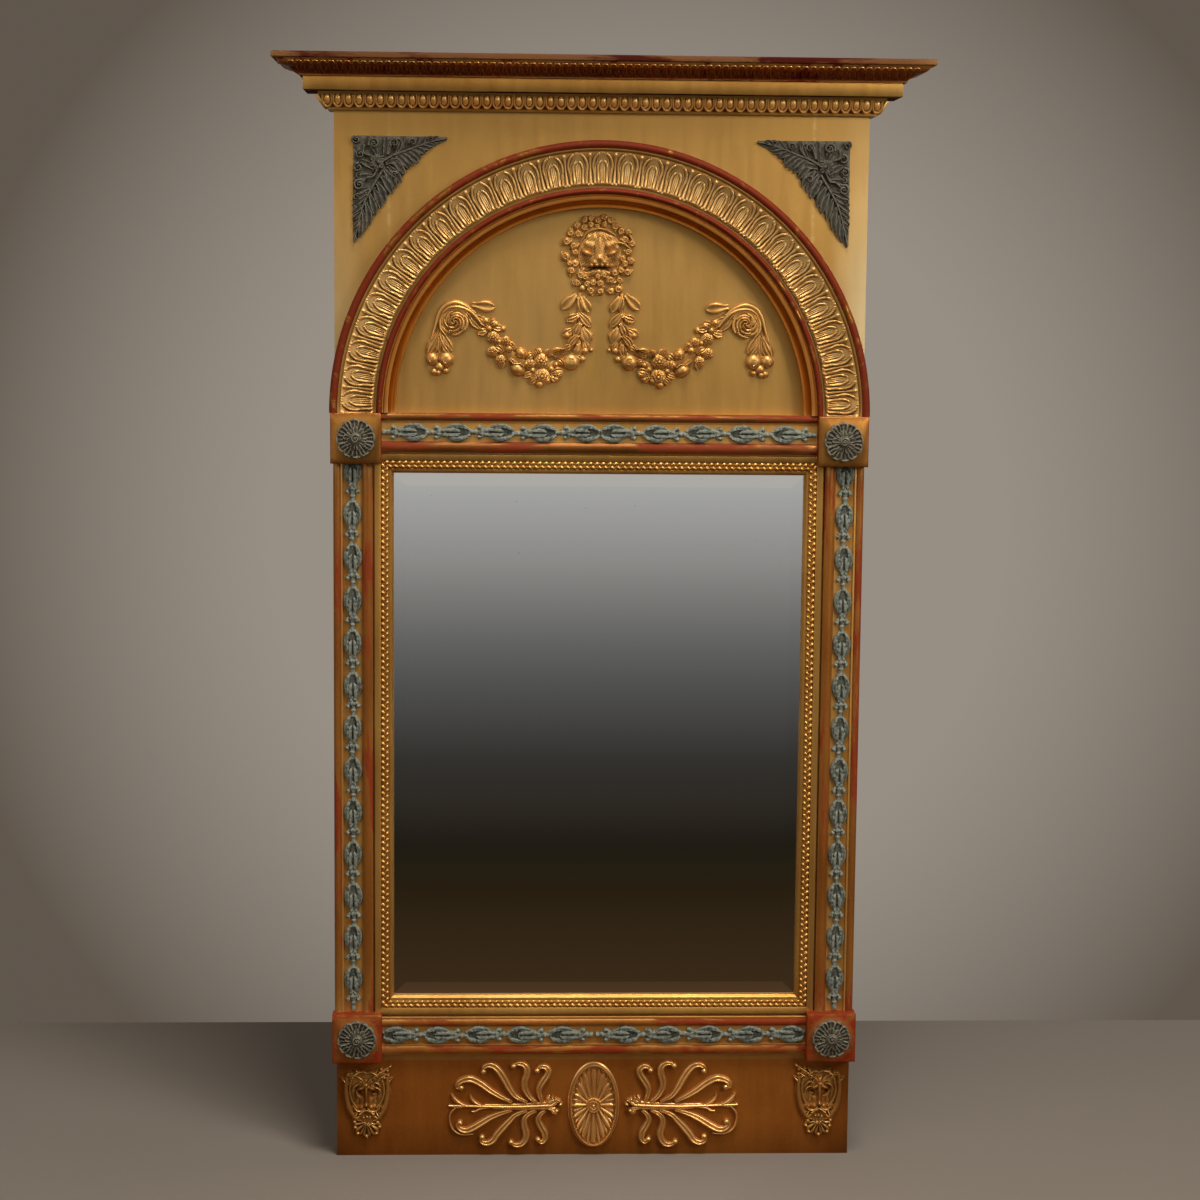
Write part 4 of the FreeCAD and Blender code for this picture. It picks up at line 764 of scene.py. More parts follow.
reeds = ([(0, 0), (0, 9.4)] + arc((0.2, 10.4), (10.8, 10.4), 2.9, 9) + [(11, 9.4), (11, 0)],
         [(42, 0), (42, 10)] + arc((42.2, 11.4), (57.8, 11.4), 3.9, 11) + [(58, 10), (58, 0)])
channel = [(11, 0), (11, 10.2), (11.4, 10.5), (13.7, 10.5), (14, 10.2), (14.2, 8), (41.8, 8), (42, 0)]
top_channel = [(11, 0), (11, 6), (14, 6), (14.4, 8), (41.8, 8), (42, 0)]
low_reeds = ([(0, 0), (0, 10)] + arc((0.2, 11.2), (13.2, 11.2), 2.4, 9) + [(13.6, 9), (13.6, 0)],
             [(43.4, 0), (43.4, 9.4)] + arc((43.6, 10.6), (54.0, 10.6), 2.2, 9) + [(54.4, 9.4), (54.4, 0)])
low_channel = [(13.6, 0), (13.6, 10.6), (14.0, 11.4), (16.2, 11.4), (16.6, 10.6), (16.8, 8), (43.2, 8),
               (43.4, 0)]
low_fillet = [(54.4, 0), (54.4, 9.4), (55, 9.8), (57.4, 9.8), (58, 9.4), (58, 0)]
for side, start, end, aside, rounds, hollows, reed_finish in (
        ("left", (-moulding_outer, block_bottom_high), (-moulding_outer, block_top_low), (1, 0),
         reeds, (channel,), stile_reed_red),
        ("right", (moulding_outer, block_bottom_high), (moulding_outer, block_top_low), (-1, 0),
         reeds, (channel,), stile_reed_red),
        ("top", (-block_inner, top_edge), (block_inner, top_edge), (0, -1), reeds, (top_channel,), reed_red),
        ("bottom", (-block_inner, bottom_edge), (block_inner, bottom_edge), (0, 1),
         low_reeds, (low_channel, low_fillet), low_reed_red)):
    bars, hollow = Carving(), Carving()
    for drawn, sections in ((bars, rounds), (hollow, hollows)):
        for section in sections:
            straight(drawn, section, start, end, aside)
    bars.piece("reeds_" + side, "worn_gilt_over_bole", reed_finish, "reeded_moulding_" + side)
    hollow.piece("channel_" + side, "worn_gilt_over_bole", channel_gold)

# Sight mouldings: a sanded flat, two rows of small beads set in a herringbone, and the lip on the glass.
# Four lengths mitred at the corners of the glass, run in pine, coated and gilded.
sight_left, sight_low, sight_high = 303.7, 251.5, 1041.5
sight_border = 28.3
sand_gold = gilding("sand_gold", (200, 148, 76), (152, 100, 42), worn=0.14, grime=0.7, relief=0.55)


def mitred(carving, section):
    """A section carried round the four sides of the glass, with mitred corners."""
    across, out = np.array(section, float).T
    spread = sight_border - across
    corners = [np.stack([x * (sight_left + spread), sight_high + spread if z > 0 else sight_low - spread], -1)
               for x, z in ((-1, -1), (1, -1), (1, 1), (-1, 1), (-1, -1))]
    for start, end in zip(corners, corners[1:]):
        carving.run([np.column_stack([start + (end - start) * share, out + face_out])
                     for share in np.linspace(0, 1, 36)])


border = Carving()
mitred(border, [(0.5, 0), (0.5, 9.6), (1, 10), (9.4, 10), (10, 9.6), (10, 7.5)]
       + arc((10, 7.3), (15.5, 7.3), 0.9, 5) + arc((15.5, 7.3), (21, 7.3), 0.9, 5)[1:]
       + [(21.2, 6.6), (22, 7.4), (25, 7.0), (28.0, 3.8), (28.3, 3.2), (28.3, 0)])
border.piece("sight_border", "gilt_moulding", sand_gold, "sight_moulding_left", "sight_moulding_right",
             "sight_moulding_top", "sight_moulding_bottom")
beading = Carving()
bead_pitch = 9.4
bead_seat = face_out + 7.3
bead_form = {"stretch": 0.7, "rings": 3, "sides": 9}
for distance, slant, size in ((12.9, 30, 1.12), (18.5, -30, 0.92)):
    reach = sight_border - distance
    tall, wide = sight_high - sight_low + 2 * reach, 2 * (sight_left + reach)
    radius, rise = 4.0 * size, 3.2 * size
    count = round(tall / bead_pitch)
    for index in range(count):
        level = sight_low - reach + (index + 0.5) * tall / count
        for side in (-1, 1):
            sway = 0.35 * math.sin(index * 2.7 + side)
            beading.dome(side * (sight_left + reach), level + sway, bead_seat, radius, rise,
                         turn=90 - side * slant, **bead_form)
    count = round(wide / bead_pitch)
    for index in range(count):
        x = -wide / 2 + (index + 0.5) * wide / count
        for level, side in ((sight_low - reach, -1), (sight_high + reach, 1)):
            sway = 0.3 * math.sin(index * 3.1 + side)
            beading.dome(x + sway, level, bead_seat, radius, rise, turn=side * slant, **bead_form)
bead_gold = gilding("bead_gold", (206, 156, 84), (152, 100, 42), worn=0.08, grime=0.9, shine=0.3)
beading.piece("sight_beads", "gilt_moulding", bead_gold, crease=60)

# Corner blocks: square pine blocks, gilded over bole and rubbed at the edges,
# each with a rosette of pressed composition in weathered green.
block_half = 37.0
block_face = 30
block_across, block_high, block_low = 358, 1093, 190.2


def rubbed_edges(left_whole):
    """Rubs the edges of the blocks to the bole, and leaves gold about the rosette by a share."""
    def touch(finish, coat):
        middle, apart = 0.8384, 0.4514
        beside = abs(abs(finish.axis(finish.place(), "X")) - block_across / 1000)
        above = abs(abs(finish.axis(finish.place(), "Z") + middle) - apart)
        from_edge = finish.step(beside.maths("MAXIMUM", beside, above) * 20 + coat.rub * 0.16, 0.66, 0.84)
        colour = finish.mix(from_edge * 0.8, coat.colour, coat.aged)
        square = beside * beside + above * above
        halo = finish.step(square.maths("SQRT", square, 0.0) * 20 + coat.rub * 0.12, 0.80, 0.66)
        coat.colour = finish.mix(halo * left_whole, colour, coat.gold)
    return touch


block_finish = gilding("block_gilding", (182, 126, 60), (146, 94, 42), worn=0.2, grime=0.4, bole=(132, 60, 28),
                       touch=rubbed_edges(0.3))
low_block_finish = gilding("low_block_gilding", (160, 92, 38), (122, 62, 24), worn=0.62, grime=0.4,
                           bole=(138, 50, 20), bright=0.7, touch=rubbed_edges(0.75))


def verdigris(name, light, deep, dust_and_sheen):
    """Green-grey paint on pressed composition, darkened in its hollows by dirt and painted shade, and paled on
    its ridges by dust and a painted highlight.
    """
    finish = Finish(bpy.data.materials.new(name))
    form = finish.node("ShaderNodeNewGeometry", output="Pointiness")
    clouds = finish.grain(30.0, 4.0, 0.6)
    flecks = finish.grain(260.0, 3.0, 0.65)
    scales = finish.grain(170.0, 2.0, 0.5)
    colour = finish.mix(clouds, deep, light)
    # Near black in the hollows, dirt and painted shade; a pale tone on the ridges, dust and a painted highlight
    for share, tone in ((finish.step(form, 0.498, 0.41) * 0.95, (20, 14, 8)),
                        (finish.step(form * 0.9 + flecks * 0.1, 0.505, 0.58) * 0.75, dust_and_sheen),
                        (finish.step(scales, 0.48, 0.36) * 0.6, (30, 24, 16)),
                        (finish.step(flecks * 0.5 + clouds * 0.5, 0.58, 0.70) * 0.35, (118, 88, 52))):
        colour = finish.mix(share, colour, tone)
    return finish.surface(Base_Color=colour, Roughness=0.5 + flecks * 0.25, Specular_IOR_Level=0.25,
                          Normal=finish.bump(0.8, 0.0016, scales * 0.8 + flecks * 0.3))


green = verdigris("weathered_green", (84, 86, 76), (54, 53, 44), (142, 146, 132))
rosette_green = verdigris("rosette_green", (78, 72, 58), (44, 38, 28), (132, 126, 108))
slate_green = verdigris("dark_weathered_green", (64, 60, 49), (38, 34, 26), (110, 104, 89))


def around(x, z, reach, angle):
    """The place at a distance from another, by its angle."""
    return x + reach * math.cos(angle), z + reach * math.sin(angle)


for place, x, level, finish in (
        ("top_left", -block_across, block_high, block_finish),
        ("top_right", block_across, block_high, block_finish),
        ("bottom_left", -block_across, block_low, low_block_finish),
        ("bottom_right", block_across, block_low, low_block_finish)):
    cube = Carving()
    inset = 1.3
    rings = []
    for shrink, out in ((0, 0), (0, 28.7), (inset * 0.4, 29.6), (inset, block_face)):
        reach = block_half - shrink
        square = [(step, -reach) for step in np.linspace(-reach, reach, 9)[:-1]]
        for _ in range(3):
            square += [(-high, across) for across, high in square[-8:]]
        rings.append([(x + across, level + high, face_out + out) for across, high in square])
    cube.run(rings)
    cube.piece("block_" + place, "worn_gilt_over_bole", finish, "corner_block_" + place)
    bloom = Carving()
    seat = face_out + block_face
    bloom.dome(x, level, seat - 0.2, 27, 3.0, sides=30, rings=3, wall=0.8)
    for index in range(12):
        heading = index * 30 + 4 + 2.4 * math.sin(index * 3.1 + x)
        turned = math.radians(heading)
        bloom.blade(*around(x, level, 8, turned), heading, 20.6 + 0.9 * math.sin(index * 2.3 + x), 14.4, seat,
                    7.6 + 1.5 * math.sin(index * 1.9), widest=0.76, blunt=0.42, cup=0.5, ribs=1, rib=0.2,
                    rows=10, columns=11, foot=0.35)
        roll = [around(x, level, 27.4, turned + spread) for spread in np.linspace(-0.17, 0.17, 6)]
        bloom.strand(roll, [0.9, 1.7, 2.1, 2.1, 1.7, 0.9], seat, 7.2 + 0.8 * math.sin(index * 1.3), section=6)
    for index in range(9):
        heading = index * 40 + 11
        bloom.blade(*around(x, level, 5, math.radians(heading)), heading, 13.5, 9.0, seat + 1.4, 8.4,
                    widest=0.66, blunt=0.45, cup=0.45, rows=8)
    bloom.dome(x, level, seat, 9.6, 12.0, sides=18, rings=6, wall=0.5)
    bloom.curl(x, level, 6.2, 1.4, 40, seat + 7, 1.9, rise=6.4, steps=26)
    bloom.dome(x, level, seat + 8, 2.0, 6.0, sides=8, rings=3)
    bloom.piece("bloom_" + place, "verdigris_composition", rosette_green, "rosette_" + place, crease=55)

# Leaf strings: hooded buds over two small curls and a stem, in the channels of the reeded mouldings.
# Pressed composition, glued in and painted a green that has weathered to grey.
channel_middle = 28.0
string_seat = face_out + 8.0


def bud(carving, x, level, heading, pitch, turn):
    """One link of a string, from its top along the heading; turn makes each a little different."""
    along = np.array(around(0, 0, 1, math.radians(heading)))
    aside = np.array([-along[1], along[0]])

    def at(down, over=0.0):
        return np.array([x, level]) + along * down + aside * over

    carving.blade(*at(0.5), heading, 49, 21.5 + turn, string_seat, 3.6, widest=0.38, blunt=0.55, cup=0.1,
                  rows=12, columns=9, foot=0.5)
    for way in (-1, 1):
        carving.blade(*at(1.0, way * 2.8), heading + way * 40, 40, 9.0 + turn * 0.5, string_seat, 7.8,
                      bend=-way * 74, widest=0.42, rows=14, cup=0.15, lobes=6, notch=0.26, foot=0.5)
        carving.blade(*at(15.5, way * 1.8), heading + way * 13, 29, 6.6, string_seat + 1, 7.6, bend=-way * 22,
                      columns=5, cup=0.1, lobes=4, notch=0.2)
        for row, (down, over, length) in enumerate(((3, 5.2, 10), (9, 7.2, 10), (15, 8.0, 10), (22, 7.2, 10),
                                                    (29, 5.4, 9), (35, 3.4, 8))):
            carving.blade(*at(down, way * over), heading + way * (22 - row * 8), length, 5.6, string_seat + 1,
                          7.4 - row * 0.4, cup=0.2, rows=6, columns=5, blunt=0.5)
            if row:
                carving.blade(*at(down + 8, way * over * 0.45), heading + way * 10, length * 0.9, 4.8,
                              string_seat + 1.4, 7.8 - row * 0.3, cup=0.2, rows=6, columns=5, blunt=0.5)
        bow = [at(down, way * over) for down, over in (
            (43.5, 1.2), (45.0, 4.0), (48.0, 6.6), (51.0, 7.8), (53.0, 6.8))]
        carving.strand(bow, [2.2, 2.7, 2.9, 2.7, 2.0], string_seat, 5.4, section=7)
        carving.dome(*at(50.4, way * 7.4), string_seat, 3.5, 6.2, sides=9, rings=3)
    stem = [at(down) for down in (41, 48, 54, 60, pitch + 2.5)]
    carving.strand(stem, [4.6, 4.4, 3.8, 3.5, 4.0], string_seat, 5.0, section=7)
    for down, size in ((47.0, 4.6), (56.5 + turn * 0.6, 4.2)):
        carving.dome(*at(down), string_seat, size, 6.2, sides=9, rings=3)


def string(place, x, level, heading, count, pitch, both=False):
    """A run of buds with some small differences between them."""
    strip = Carving()
    for index in range(count):
        turn = 0.9 * math.sin(index * 2.4 + level)
        along = np.array(around(0, 0, 1, math.radians(heading))) * pitch * index
        bud(strip, x + along[0], level + along[1], heading + turn, pitch, turn)
        if both:
            bud(strip, -x - along[0], level + along[1], 180 - heading - turn, pitch, -turn)
    strip.piece("buds_" + place, "verdigris_composition", green, "leaf_string_" + place, crease=55)


stile_buds, rail_buds = 13, 5
stile_pitch = (block_top_low - block_bottom_high + 1.5) / stile_buds
rail_pitch = (block_inner - 4.0) / rail_buds
string("left", -moulding_outer + channel_middle, block_top_low + 8.5, -90, stile_buds, stile_pitch)
string("right", moulding_outer - channel_middle, block_top_low + 8.5, -90, stile_buds, stile_pitch)
string("top", 0, top_edge - channel_middle, 0, rail_buds, rail_pitch, both=True)
string("bottom", -block_inner + 1.0, bottom_edge + 30.0, 0, rail_buds, rail_pitch - 0.4, both=True)

# Corner ornaments: dark pressed triangles of acanthus leaves and scrolls about a bud,
# cast in composition, painted, and glued in the upper corners of the boards


def smooth(points, steps):
    """Many points on an even curve through a few."""
    points = np.array(points, float)
    at = np.linspace(0, len(points) - 1, steps)
    low = np.clip(at.astype(int), 0, len(points) - 2)
    share = (at - low)[:, None]
    before, after = points[np.clip(low - 1, 0, None)], points[np.clip(low + 2, None, len(points) - 1)]
    first, second = points[low], points[low + 1]
    return 0.5 * (2 * first + (second - before) * share
                  + (2 * before - 5 * first + 4 * second - after) * share ** 2
                  + (3 * first - before - 3 * second + after) * share ** 3)


def course_of(x0, z0, x1, z1):
    """Heading in degrees and length from one place to another."""
    return math.degrees(math.atan2(z1 - z0, x1 - x0)), math.hypot(x1 - x0, z1 - z0)


spray = Carving()
plate = [
    (-362.2, 1530.7), (-226.7, 1530.1), (-225.3, 1526.7), (-244.7, 1517.4), (-265.5, 1501.6),
    (-281.4, 1486.9), (-294.3, 1467), (-307.2, 1450.8), (-323.1, 1430.3), (-340.4, 1406), (-354.8, 1386.1),
    (-359.9, 1375.8), (-362.6, 1378.7)]
mid = np.mean(plate, axis=0)
rings = [[(x, z, face_out - 0.5) for x, z in plate], [(x, z, face_out + 1.0) for x, z in plate],
         [(mid[0] + (x - mid[0]) * 0.95, mid[1] + (z - mid[1]) * 0.95, face_out + 1.6) for x, z in plate]]
spray.run([ring[::-1] for ring in rings])
# Each leaf by its foot, tip and width
for x0, z0, x1, z1, width in (
        (-259.8, 1519.3, -244.7, 1515.6, 8.5), (-267.7, 1515.6, -250.4, 1511.5, 9.8),
        (-274.2, 1513.5, -257.6, 1505.1, 10.4), (-281.4, 1510.5, -264.8, 1498.3, 11),
        (-288.6, 1507.5, -267.7, 1491.8, 11.6), (-294.3, 1505.1, -274.5, 1488, 11.6),
        (-300.1, 1502.4, -280.6, 1483.5, 12.2), (-306.5, 1496.5, -287.4, 1475.9, 12.8),
        (-311.6, 1486.9, -292.8, 1463.4, 13.4), (-315.9, 1480.3, -300.1, 1455.6, 12.8),
        (-321.6, 1473, -305.8, 1447.2, 12.8), (-328.2, 1463.4, -315.9, 1434.9, 12.8),
        (-333.2, 1455.3, -322.2, 1426.1, 12.2), (-339, 1446.5, -330.6, 1415.9, 11.6),
        (-344.4, 1434.6, -339, 1402, 11), (-348.7, 1422.9, -346.4, 1392.8, 9.8),
        (-351.8, 1411.1, -353.6, 1384.1, 8.5), (-338.2, 1455.3, -362.2, 1445.3, 11),
        (-340.6, 1448, -362.9, 1437, 10.4), (-344, 1440.6, -362.9, 1428.5, 9.8),
        (-347.2, 1430.3, -362.9, 1418.4, 9.2), (-350.4, 1419.9, -362.6, 1408.2, 8.5),
        (-353.4, 1411.1, -361.9, 1397.9, 7.9), (-275.6, 1513.5, -266.7, 1530.1, 9.8),
        (-267.7, 1516.3, -256.6, 1530.4, 9.2), (-259.8, 1519.3, -247.1, 1530.4, 8.5),
        (-250.9, 1522.3, -238.2, 1530.1, 7.3), (-300.1, 1505.4, -288.6, 1530.1, 10.4),
        (-317.3, 1499.4, -314.5, 1529.6, 11), (-327.4, 1500.9, -340.6, 1528.9, 11),
        (-330.3, 1481.8, -353.4, 1495, 11), (-333.2, 1473, -361.6, 1467, 11),
        (-314.5, 1490.6, -294.3, 1495, 11), (-317.3, 1481.8, -307.2, 1461.2, 11)):
    heading, length = course_of(x0, z0, x1, z1)
    bend = -26 if z1 - z0 < (x1 - x0) * 1.2 else 24
    spray.blade(x0, z0, heading - bend / 2, length * 1.02, width, face_out + 0.6, 7.4, bend=bend, widest=0.55,
                blunt=0.55, cup=0.5, lobes=2, notch=0.14, rows=11, columns=9, foot=0.4)
# The long stems, along the top and down the outer side
for points in (
        [(-317.3, 1495), (-302.9, 1503.1), (-288.6, 1508.2), (-265.5, 1517.1), (-245.4, 1523.7),
         (-226.4, 1527.1)],
        [(-318.8, 1481.8), (-331.7, 1461.2), (-341.8, 1443.5), (-349, 1425.8), (-354.8, 1403.8),
         (-360.8, 1377.2)]):
    spray.strand(smooth(points, 22), np.linspace(2.4, 1.3, 22), face_out + 1, 6.4, section=6)
# Scrolls by middle, radius, turns, start and way
for x, z, radius, turns, start, way in (
        (-331.7, 1519.3, 8, 1.4, 200, -1), (-353.4, 1459.7, 8, 1.4, 60, 1),
        (-354.8, 1484.7, 6.6, 1.2, 80, 1), (-275.6, 1521.6, 5.6, 1.2, 190, -1),
        (-302.2, 1520.1, 6.6, 1.2, 200, -1), (-357.7, 1524.4, 5.6, 1.2, 130, 1),
        (-302.9, 1474.4, 5.4, 1.2, 20, 1), (-353.4, 1473, 4.6, 1.1, 70, 1),
        (-351.8, 1503.9, 6.6, 1.2, 90, 1), (-356.9, 1442, 4.6, 1.1, 70, 1),
        (-249.7, 1526.2, 3.6, 1.1, 190, -1)):
    spray.dome(x, z, face_out + 0.5, radius * 1.1, 4.0, sides=14)
    spray.curl(x, z, radius, turns, start, face_out + 1, radius * 0.36, way, lift=1.8, rise=7.2)
    spray.dome(x, z, face_out + 1, radius * 0.27, 7.6, sides=8, rings=3)
for points in (
        [(-346.1, 1517.1), (-346.1, 1505.4), (-331.7, 1500.9), (-317.3, 1500.9)],
        [(-311.6, 1503.9), (-307.2, 1517.1), (-298.7, 1525.9), (-291.4, 1521.6), (-294.3, 1509.7),
         (-300.1, 1505.4)],
        [(-353.4, 1459.7), (-341.8, 1470), (-333.2, 1472.2), (-327.4, 1481.8)]):
    spray.strand(smooth(points, 18), np.linspace(2.2, 1.5, 18), face_out + 1.5, 6.4, section=6)
for heading in range(20, 380, 60):
    spray.blade(*around(-327.4, 1492.5, 2, math.radians(heading)), heading, 9.5, 8, face_out + 3, 6.6,
                widest=0.6, blunt=0.5, cup=0.35, rows=7)
spray.dome(-325.3, 1492.8, face_out + 4, 3.6, 7.2)
spray.pair("corner_spray_", "dark_verdigris_composition", slate_green, "corner_ornament_", crease=55)

# Lion's mask: a broad face in a mane of curled locks, with two rows of small curls under the chin.
# Cast in composition, gilded, and glued at the head of the panel under the arch.
panel_out = 22.0
lion = Carving()
face_x, face_level = -2.4, 1364.6


def swell(x, z, centre_x, centre_z, wide, high, height, tilt=0.0):
    """A soft bump or, with a negative height, a hollow in a carved face."""
    turn = math.radians(tilt)
    across = ((x - centre_x) * math.cos(turn) + (z - centre_z) * math.sin(turn)) / wide
    along = (-(x - centre_x) * math.sin(turn) + (z - centre_z) * math.cos(turn)) / high
    return height * np.exp(-(across ** 2 + along ** 2))


def face(carving, middle_x, middle_z, half_x, half_z, seat, depth, bumps, size=44, fur=0.0):
    """An oval face built up of soft bumps, (x, z, wide, high, height, tilt) from its middle."""
    share = np.linspace(-1, 1, size)
    across, along = np.meshgrid(share, share)
    x = across * np.sqrt(1 - along ** 2 / 2) * half_x
    z = along * np.sqrt(1 - across ** 2 / 2) * half_z
    far = np.clip(1 - (x / half_x) ** 2 - (z / half_z) ** 2, 0, 1)
    high = depth * (0.25 + 0.75 * np.sqrt(far))
    for bump in bumps:
        high = high + swell(x, z, *bump) * np.minimum(1, far * 6)
    high = high + fur * np.sin(np.abs(x) * 1.6 + z * 0.4) * np.sin(z * 1.1 - np.abs(x) * 0.5)
    carving.raised(np.stack([middle_x + x, middle_z + z, seat + np.maximum(high, 0.5)], -1), seat - 0.3)


both_sides = []
for way in (-1, 1):
    both_sides += [
        (way * 19, 0, 9.5, 6.5, -2.6, way * 24), (way * 19.5, -13, 7.5, 8.5, -4.6, way * 20),
        (way * 8.8, -13.5, 5.4, 4.2, 4.6, 0), (way * 8.0, 4, 2.0, 10.0, -1.6, 0),
        (way * 12, 12, 4.5, 5.5, 3.0, way * 30), (way * 20, 15, 4.5, 4.0, 2.6, way * 30),
        (way * 8, 24, 3.6, 5.0, 2.4, 0), (way * 17, 25, 3.8, 4.4, 2.2, 0),
        (way * 26, 8, 3.4, 6.0, 2.0, 0), (way * 14, -19, 6, 2.4, 2.4, way * -14)]
face(lion, face_x, face_level, 32.5, 38, panel_out, 8.6, both_sides + [
    (0, 5, 6.6, 13, 2.2, 0), (0, -6.5, 7.0, 4.6, 3.8, 0), (0, 18, 2.6, 7, 2.0, 0), (0, 29, 4, 4, 2.2, 0),
    (0, -20.5, 20.0, 2.6, -8.5, 0), (-17, -24.0, 8.0, 2.4, -6.5, 17), (17, -24.0, 8.0, 2.4, -6.5, -17),
    (0, -34.0, 12, 2.0, -5.0, 0)], size=72, fur=0.5)
# Eyes, nostrils and cheeks
for way in (-1, 1):
    lion.dome(face_x + way * 18.6, face_level + 0.8, panel_out + 6, 7.6, 8.6, stretch=0.54, turn=way * 24,
              rings=5, sides=18)
    for beside, below, out, radius, rise, rings, sides in (
            (7.6, 12.4, 7, 3.4, 6.4, 4, 12), (11.5, 16.8, 6, 2.8, 5.6, 3, 10), (4.0, 16.4, 7, 2.6, 5.6, 3, 10)):
        lion.dome(face_x + way * beside, face_level - below, panel_out + out, radius, rise, rings=rings,
                  sides=sides)
# The hair over the forehead
for path, radii, rise in (
        ([(-27, 1385.7), (-22.1, 1394.3), (-13.7, 1399.2), (-2.8, 1400.8), (9.3, 1398), (20.2, 1391.2)],
         [1.6, 2.6, 2.8, 2.8, 2.6, 1.8], 9.5),
        ([(4.4, 1393.1), (10.5, 1385.7), (16.5, 1379), (25, 1380.8), (33.4, 1379), (43.1, 1371.7)],
         [1.0, 2.0, 2.4, 2.4, 2.4, 1.6], 9.0),
        ([(21.4, 1406.6), (32.2, 1401.7), (41.9, 1391.2), (48.5, 1379)], [1.6, 2.6, 2.6, 1.6], 8.0),
        ([(-24.5, 1385.7), (-30, 1376.5), (-32.4, 1364.3), (-33, 1352)], [1.2, 2.0, 2.2, 1.4], 7.5)):
    lion.strand(path, radii, panel_out, rise, section=7)
# The mane: knotted curls, each a small spiral on a round lump
mane = (
    (-51.1, 1382.1, 5.9), (-52.1, 1359.6, 6.3), (-43.9, 1338.8, 5.6), (-35.2, 1321.7, 4.9),
    (-30, 1333.4, 5.4), (-20.7, 1319.6, 5.0), (-15.1, 1309.4, 5.2), (-11, 1322.4, 4.9), (-0.6, 1321.2, 5.2),
    (-1.4, 1308.9, 5.0), (14.1, 1310.2, 5.3), (26.4, 1312.8, 5.7), (14.7, 1325.3, 5.8), (26.8, 1325.7, 5.0),
    (39.2, 1338, 5.6), (29.8, 1339.8, 4.6), (35.3, 1349.6, 5.0), (43.7, 1354.5, 4.9), (32, 1357.6, 4.6),
    (39.5, 1366.8, 5.2), (44.9, 1379, 4.9), (35.3, 1385.7, 5.6), (29.8, 1397.4, 5.4), (38.9, 1395.9, 4.4),
    (20.2, 1404.1, 5.4), (13.5, 1412.7, 4.8), (4.4, 1416.4, 4.8), (3.8, 1407.2, 4.4), (-5.5, 1413.3, 4.8),
    (-14.9, 1415.1, 4.6), (-15.5, 1406, 4.6), (-24.8, 1413.9, 4.6), (-25.1, 1402.9, 5.0),
    (-36, 1404.7, 5.0), (-34.8, 1392.5, 5.4), (-45.1, 1394.3, 5.0), (-40.2, 1375.3, 5.2),
    (-39, 1366.1, 4.6), (-38.4, 1349.6, 5.4), (-23.3, 1330, 4.4), (4.4, 1333.1, 4.6), (-5.2, 1331.2, 4.0),
    (20.2, 1336.7, 4.6), (-46.3, 1349.6, 4.0), (-6.4, 1403.5, 4.0))
for index, (x, z, radius) in enumerate(mane):
    way = 1 if index % 2 else -1
    rise = 8.6 + 1.4 * math.sin(index * 2.3)
    lion.dome(x, z, panel_out, radius * 1.18, rise * 0.86, sides=14, wall=0.3)
    lion.curl(x, z, radius * 0.8, 1.2, index * 77, panel_out + rise * 0.3, 2.1, way, lift=1.2, rise=rise * 0.68,
              steps=20)
    outward = math.degrees(math.atan2(z - 1362, x + 3.5))
    for spread in (-44, 150):
        lion.blade(x, z, outward + way * spread, radius * 1.7, radius * 1.15, panel_out, rise * 0.74,
                   bend=-way * 50, cup=0.2, ribs=1.5, rib=0.12, columns=9, foot=0.5)
mask_gold = gilding("mask_gold", (190, 142, 80), (136, 88, 40), worn=0.04, grime=0.95, shine=0.4, bright=0.66,
                    hollows=0.45)
lion.piece("lion_head", "gilt_carving", mask_gold, "lion_mask", crease=60)

# Festoons: fruit, flowers and leaves on a cord from under the mask to a rose, with a short drop beyond it.
# Cast in composition in small pieces, gilded, and glued on the panel.
ornament_gold = gilding("ornament_gold", (194, 146, 84), (138, 92, 42), worn=0.04, grime=0.95, shine=0.36,
                        bright=0.72, hollows=0.458)


def graded(values, count):
    """A few values spread evenly over a count of places."""
    return np.interp(np.linspace(0, 1, count), np.linspace(0, 1, len(values)), values)


def flower(carving, x, z, radius, count, seat, rise):
    """An open flower of two rings of petals round a button."""
    for share, high in ((1.0, 0.7), (0.62, 0.95)):
        for index in range(count):
            heading = index * 360 / count + 70 * share
            carving.blade(*around(x, z, radius * 0.14, math.radians(heading)), heading, radius * share * 0.98,
                          8.4 * radius * share / count, seat, rise * high, widest=0.72, blunt=0.4, cup=0.2,
                          ribs=1, rib=0.08, rows=8, columns=9, foot=0.5)
    carving.dome(x, z, seat + rise * 0.3, radius * 0.3, rise * 0.8, rings=3)


swag = Carving()
for path, radii in (
        ([(30.3, 1306.6), (31.8, 1281.2), (30.3, 1257.6), (32.1, 1237.7), (35.8, 1216), (50.4, 1208.9)],
         [3, 3, 4, 5, 7, 8]),
        ([(50.4, 1208.9), (68.7, 1200), (86.9, 1194.7), (107, 1200.4), (125.3, 1209.6), (139.9, 1224.2),
         (156.3, 1240.7), (169.1, 1257.1), (183.7, 1270)], [8, 8, 9, 9, 8, 7, 7, 5, 3]),
        ([(236.7, 1250.5), (237, 1232.4), (237, 1210.7), (237, 1194.4)], [3, 6, 8, 3])):
    swag.strand(smooth(path, 30), graded(radii, 30), panel_out, 3.2, section=7, wall=0.3)
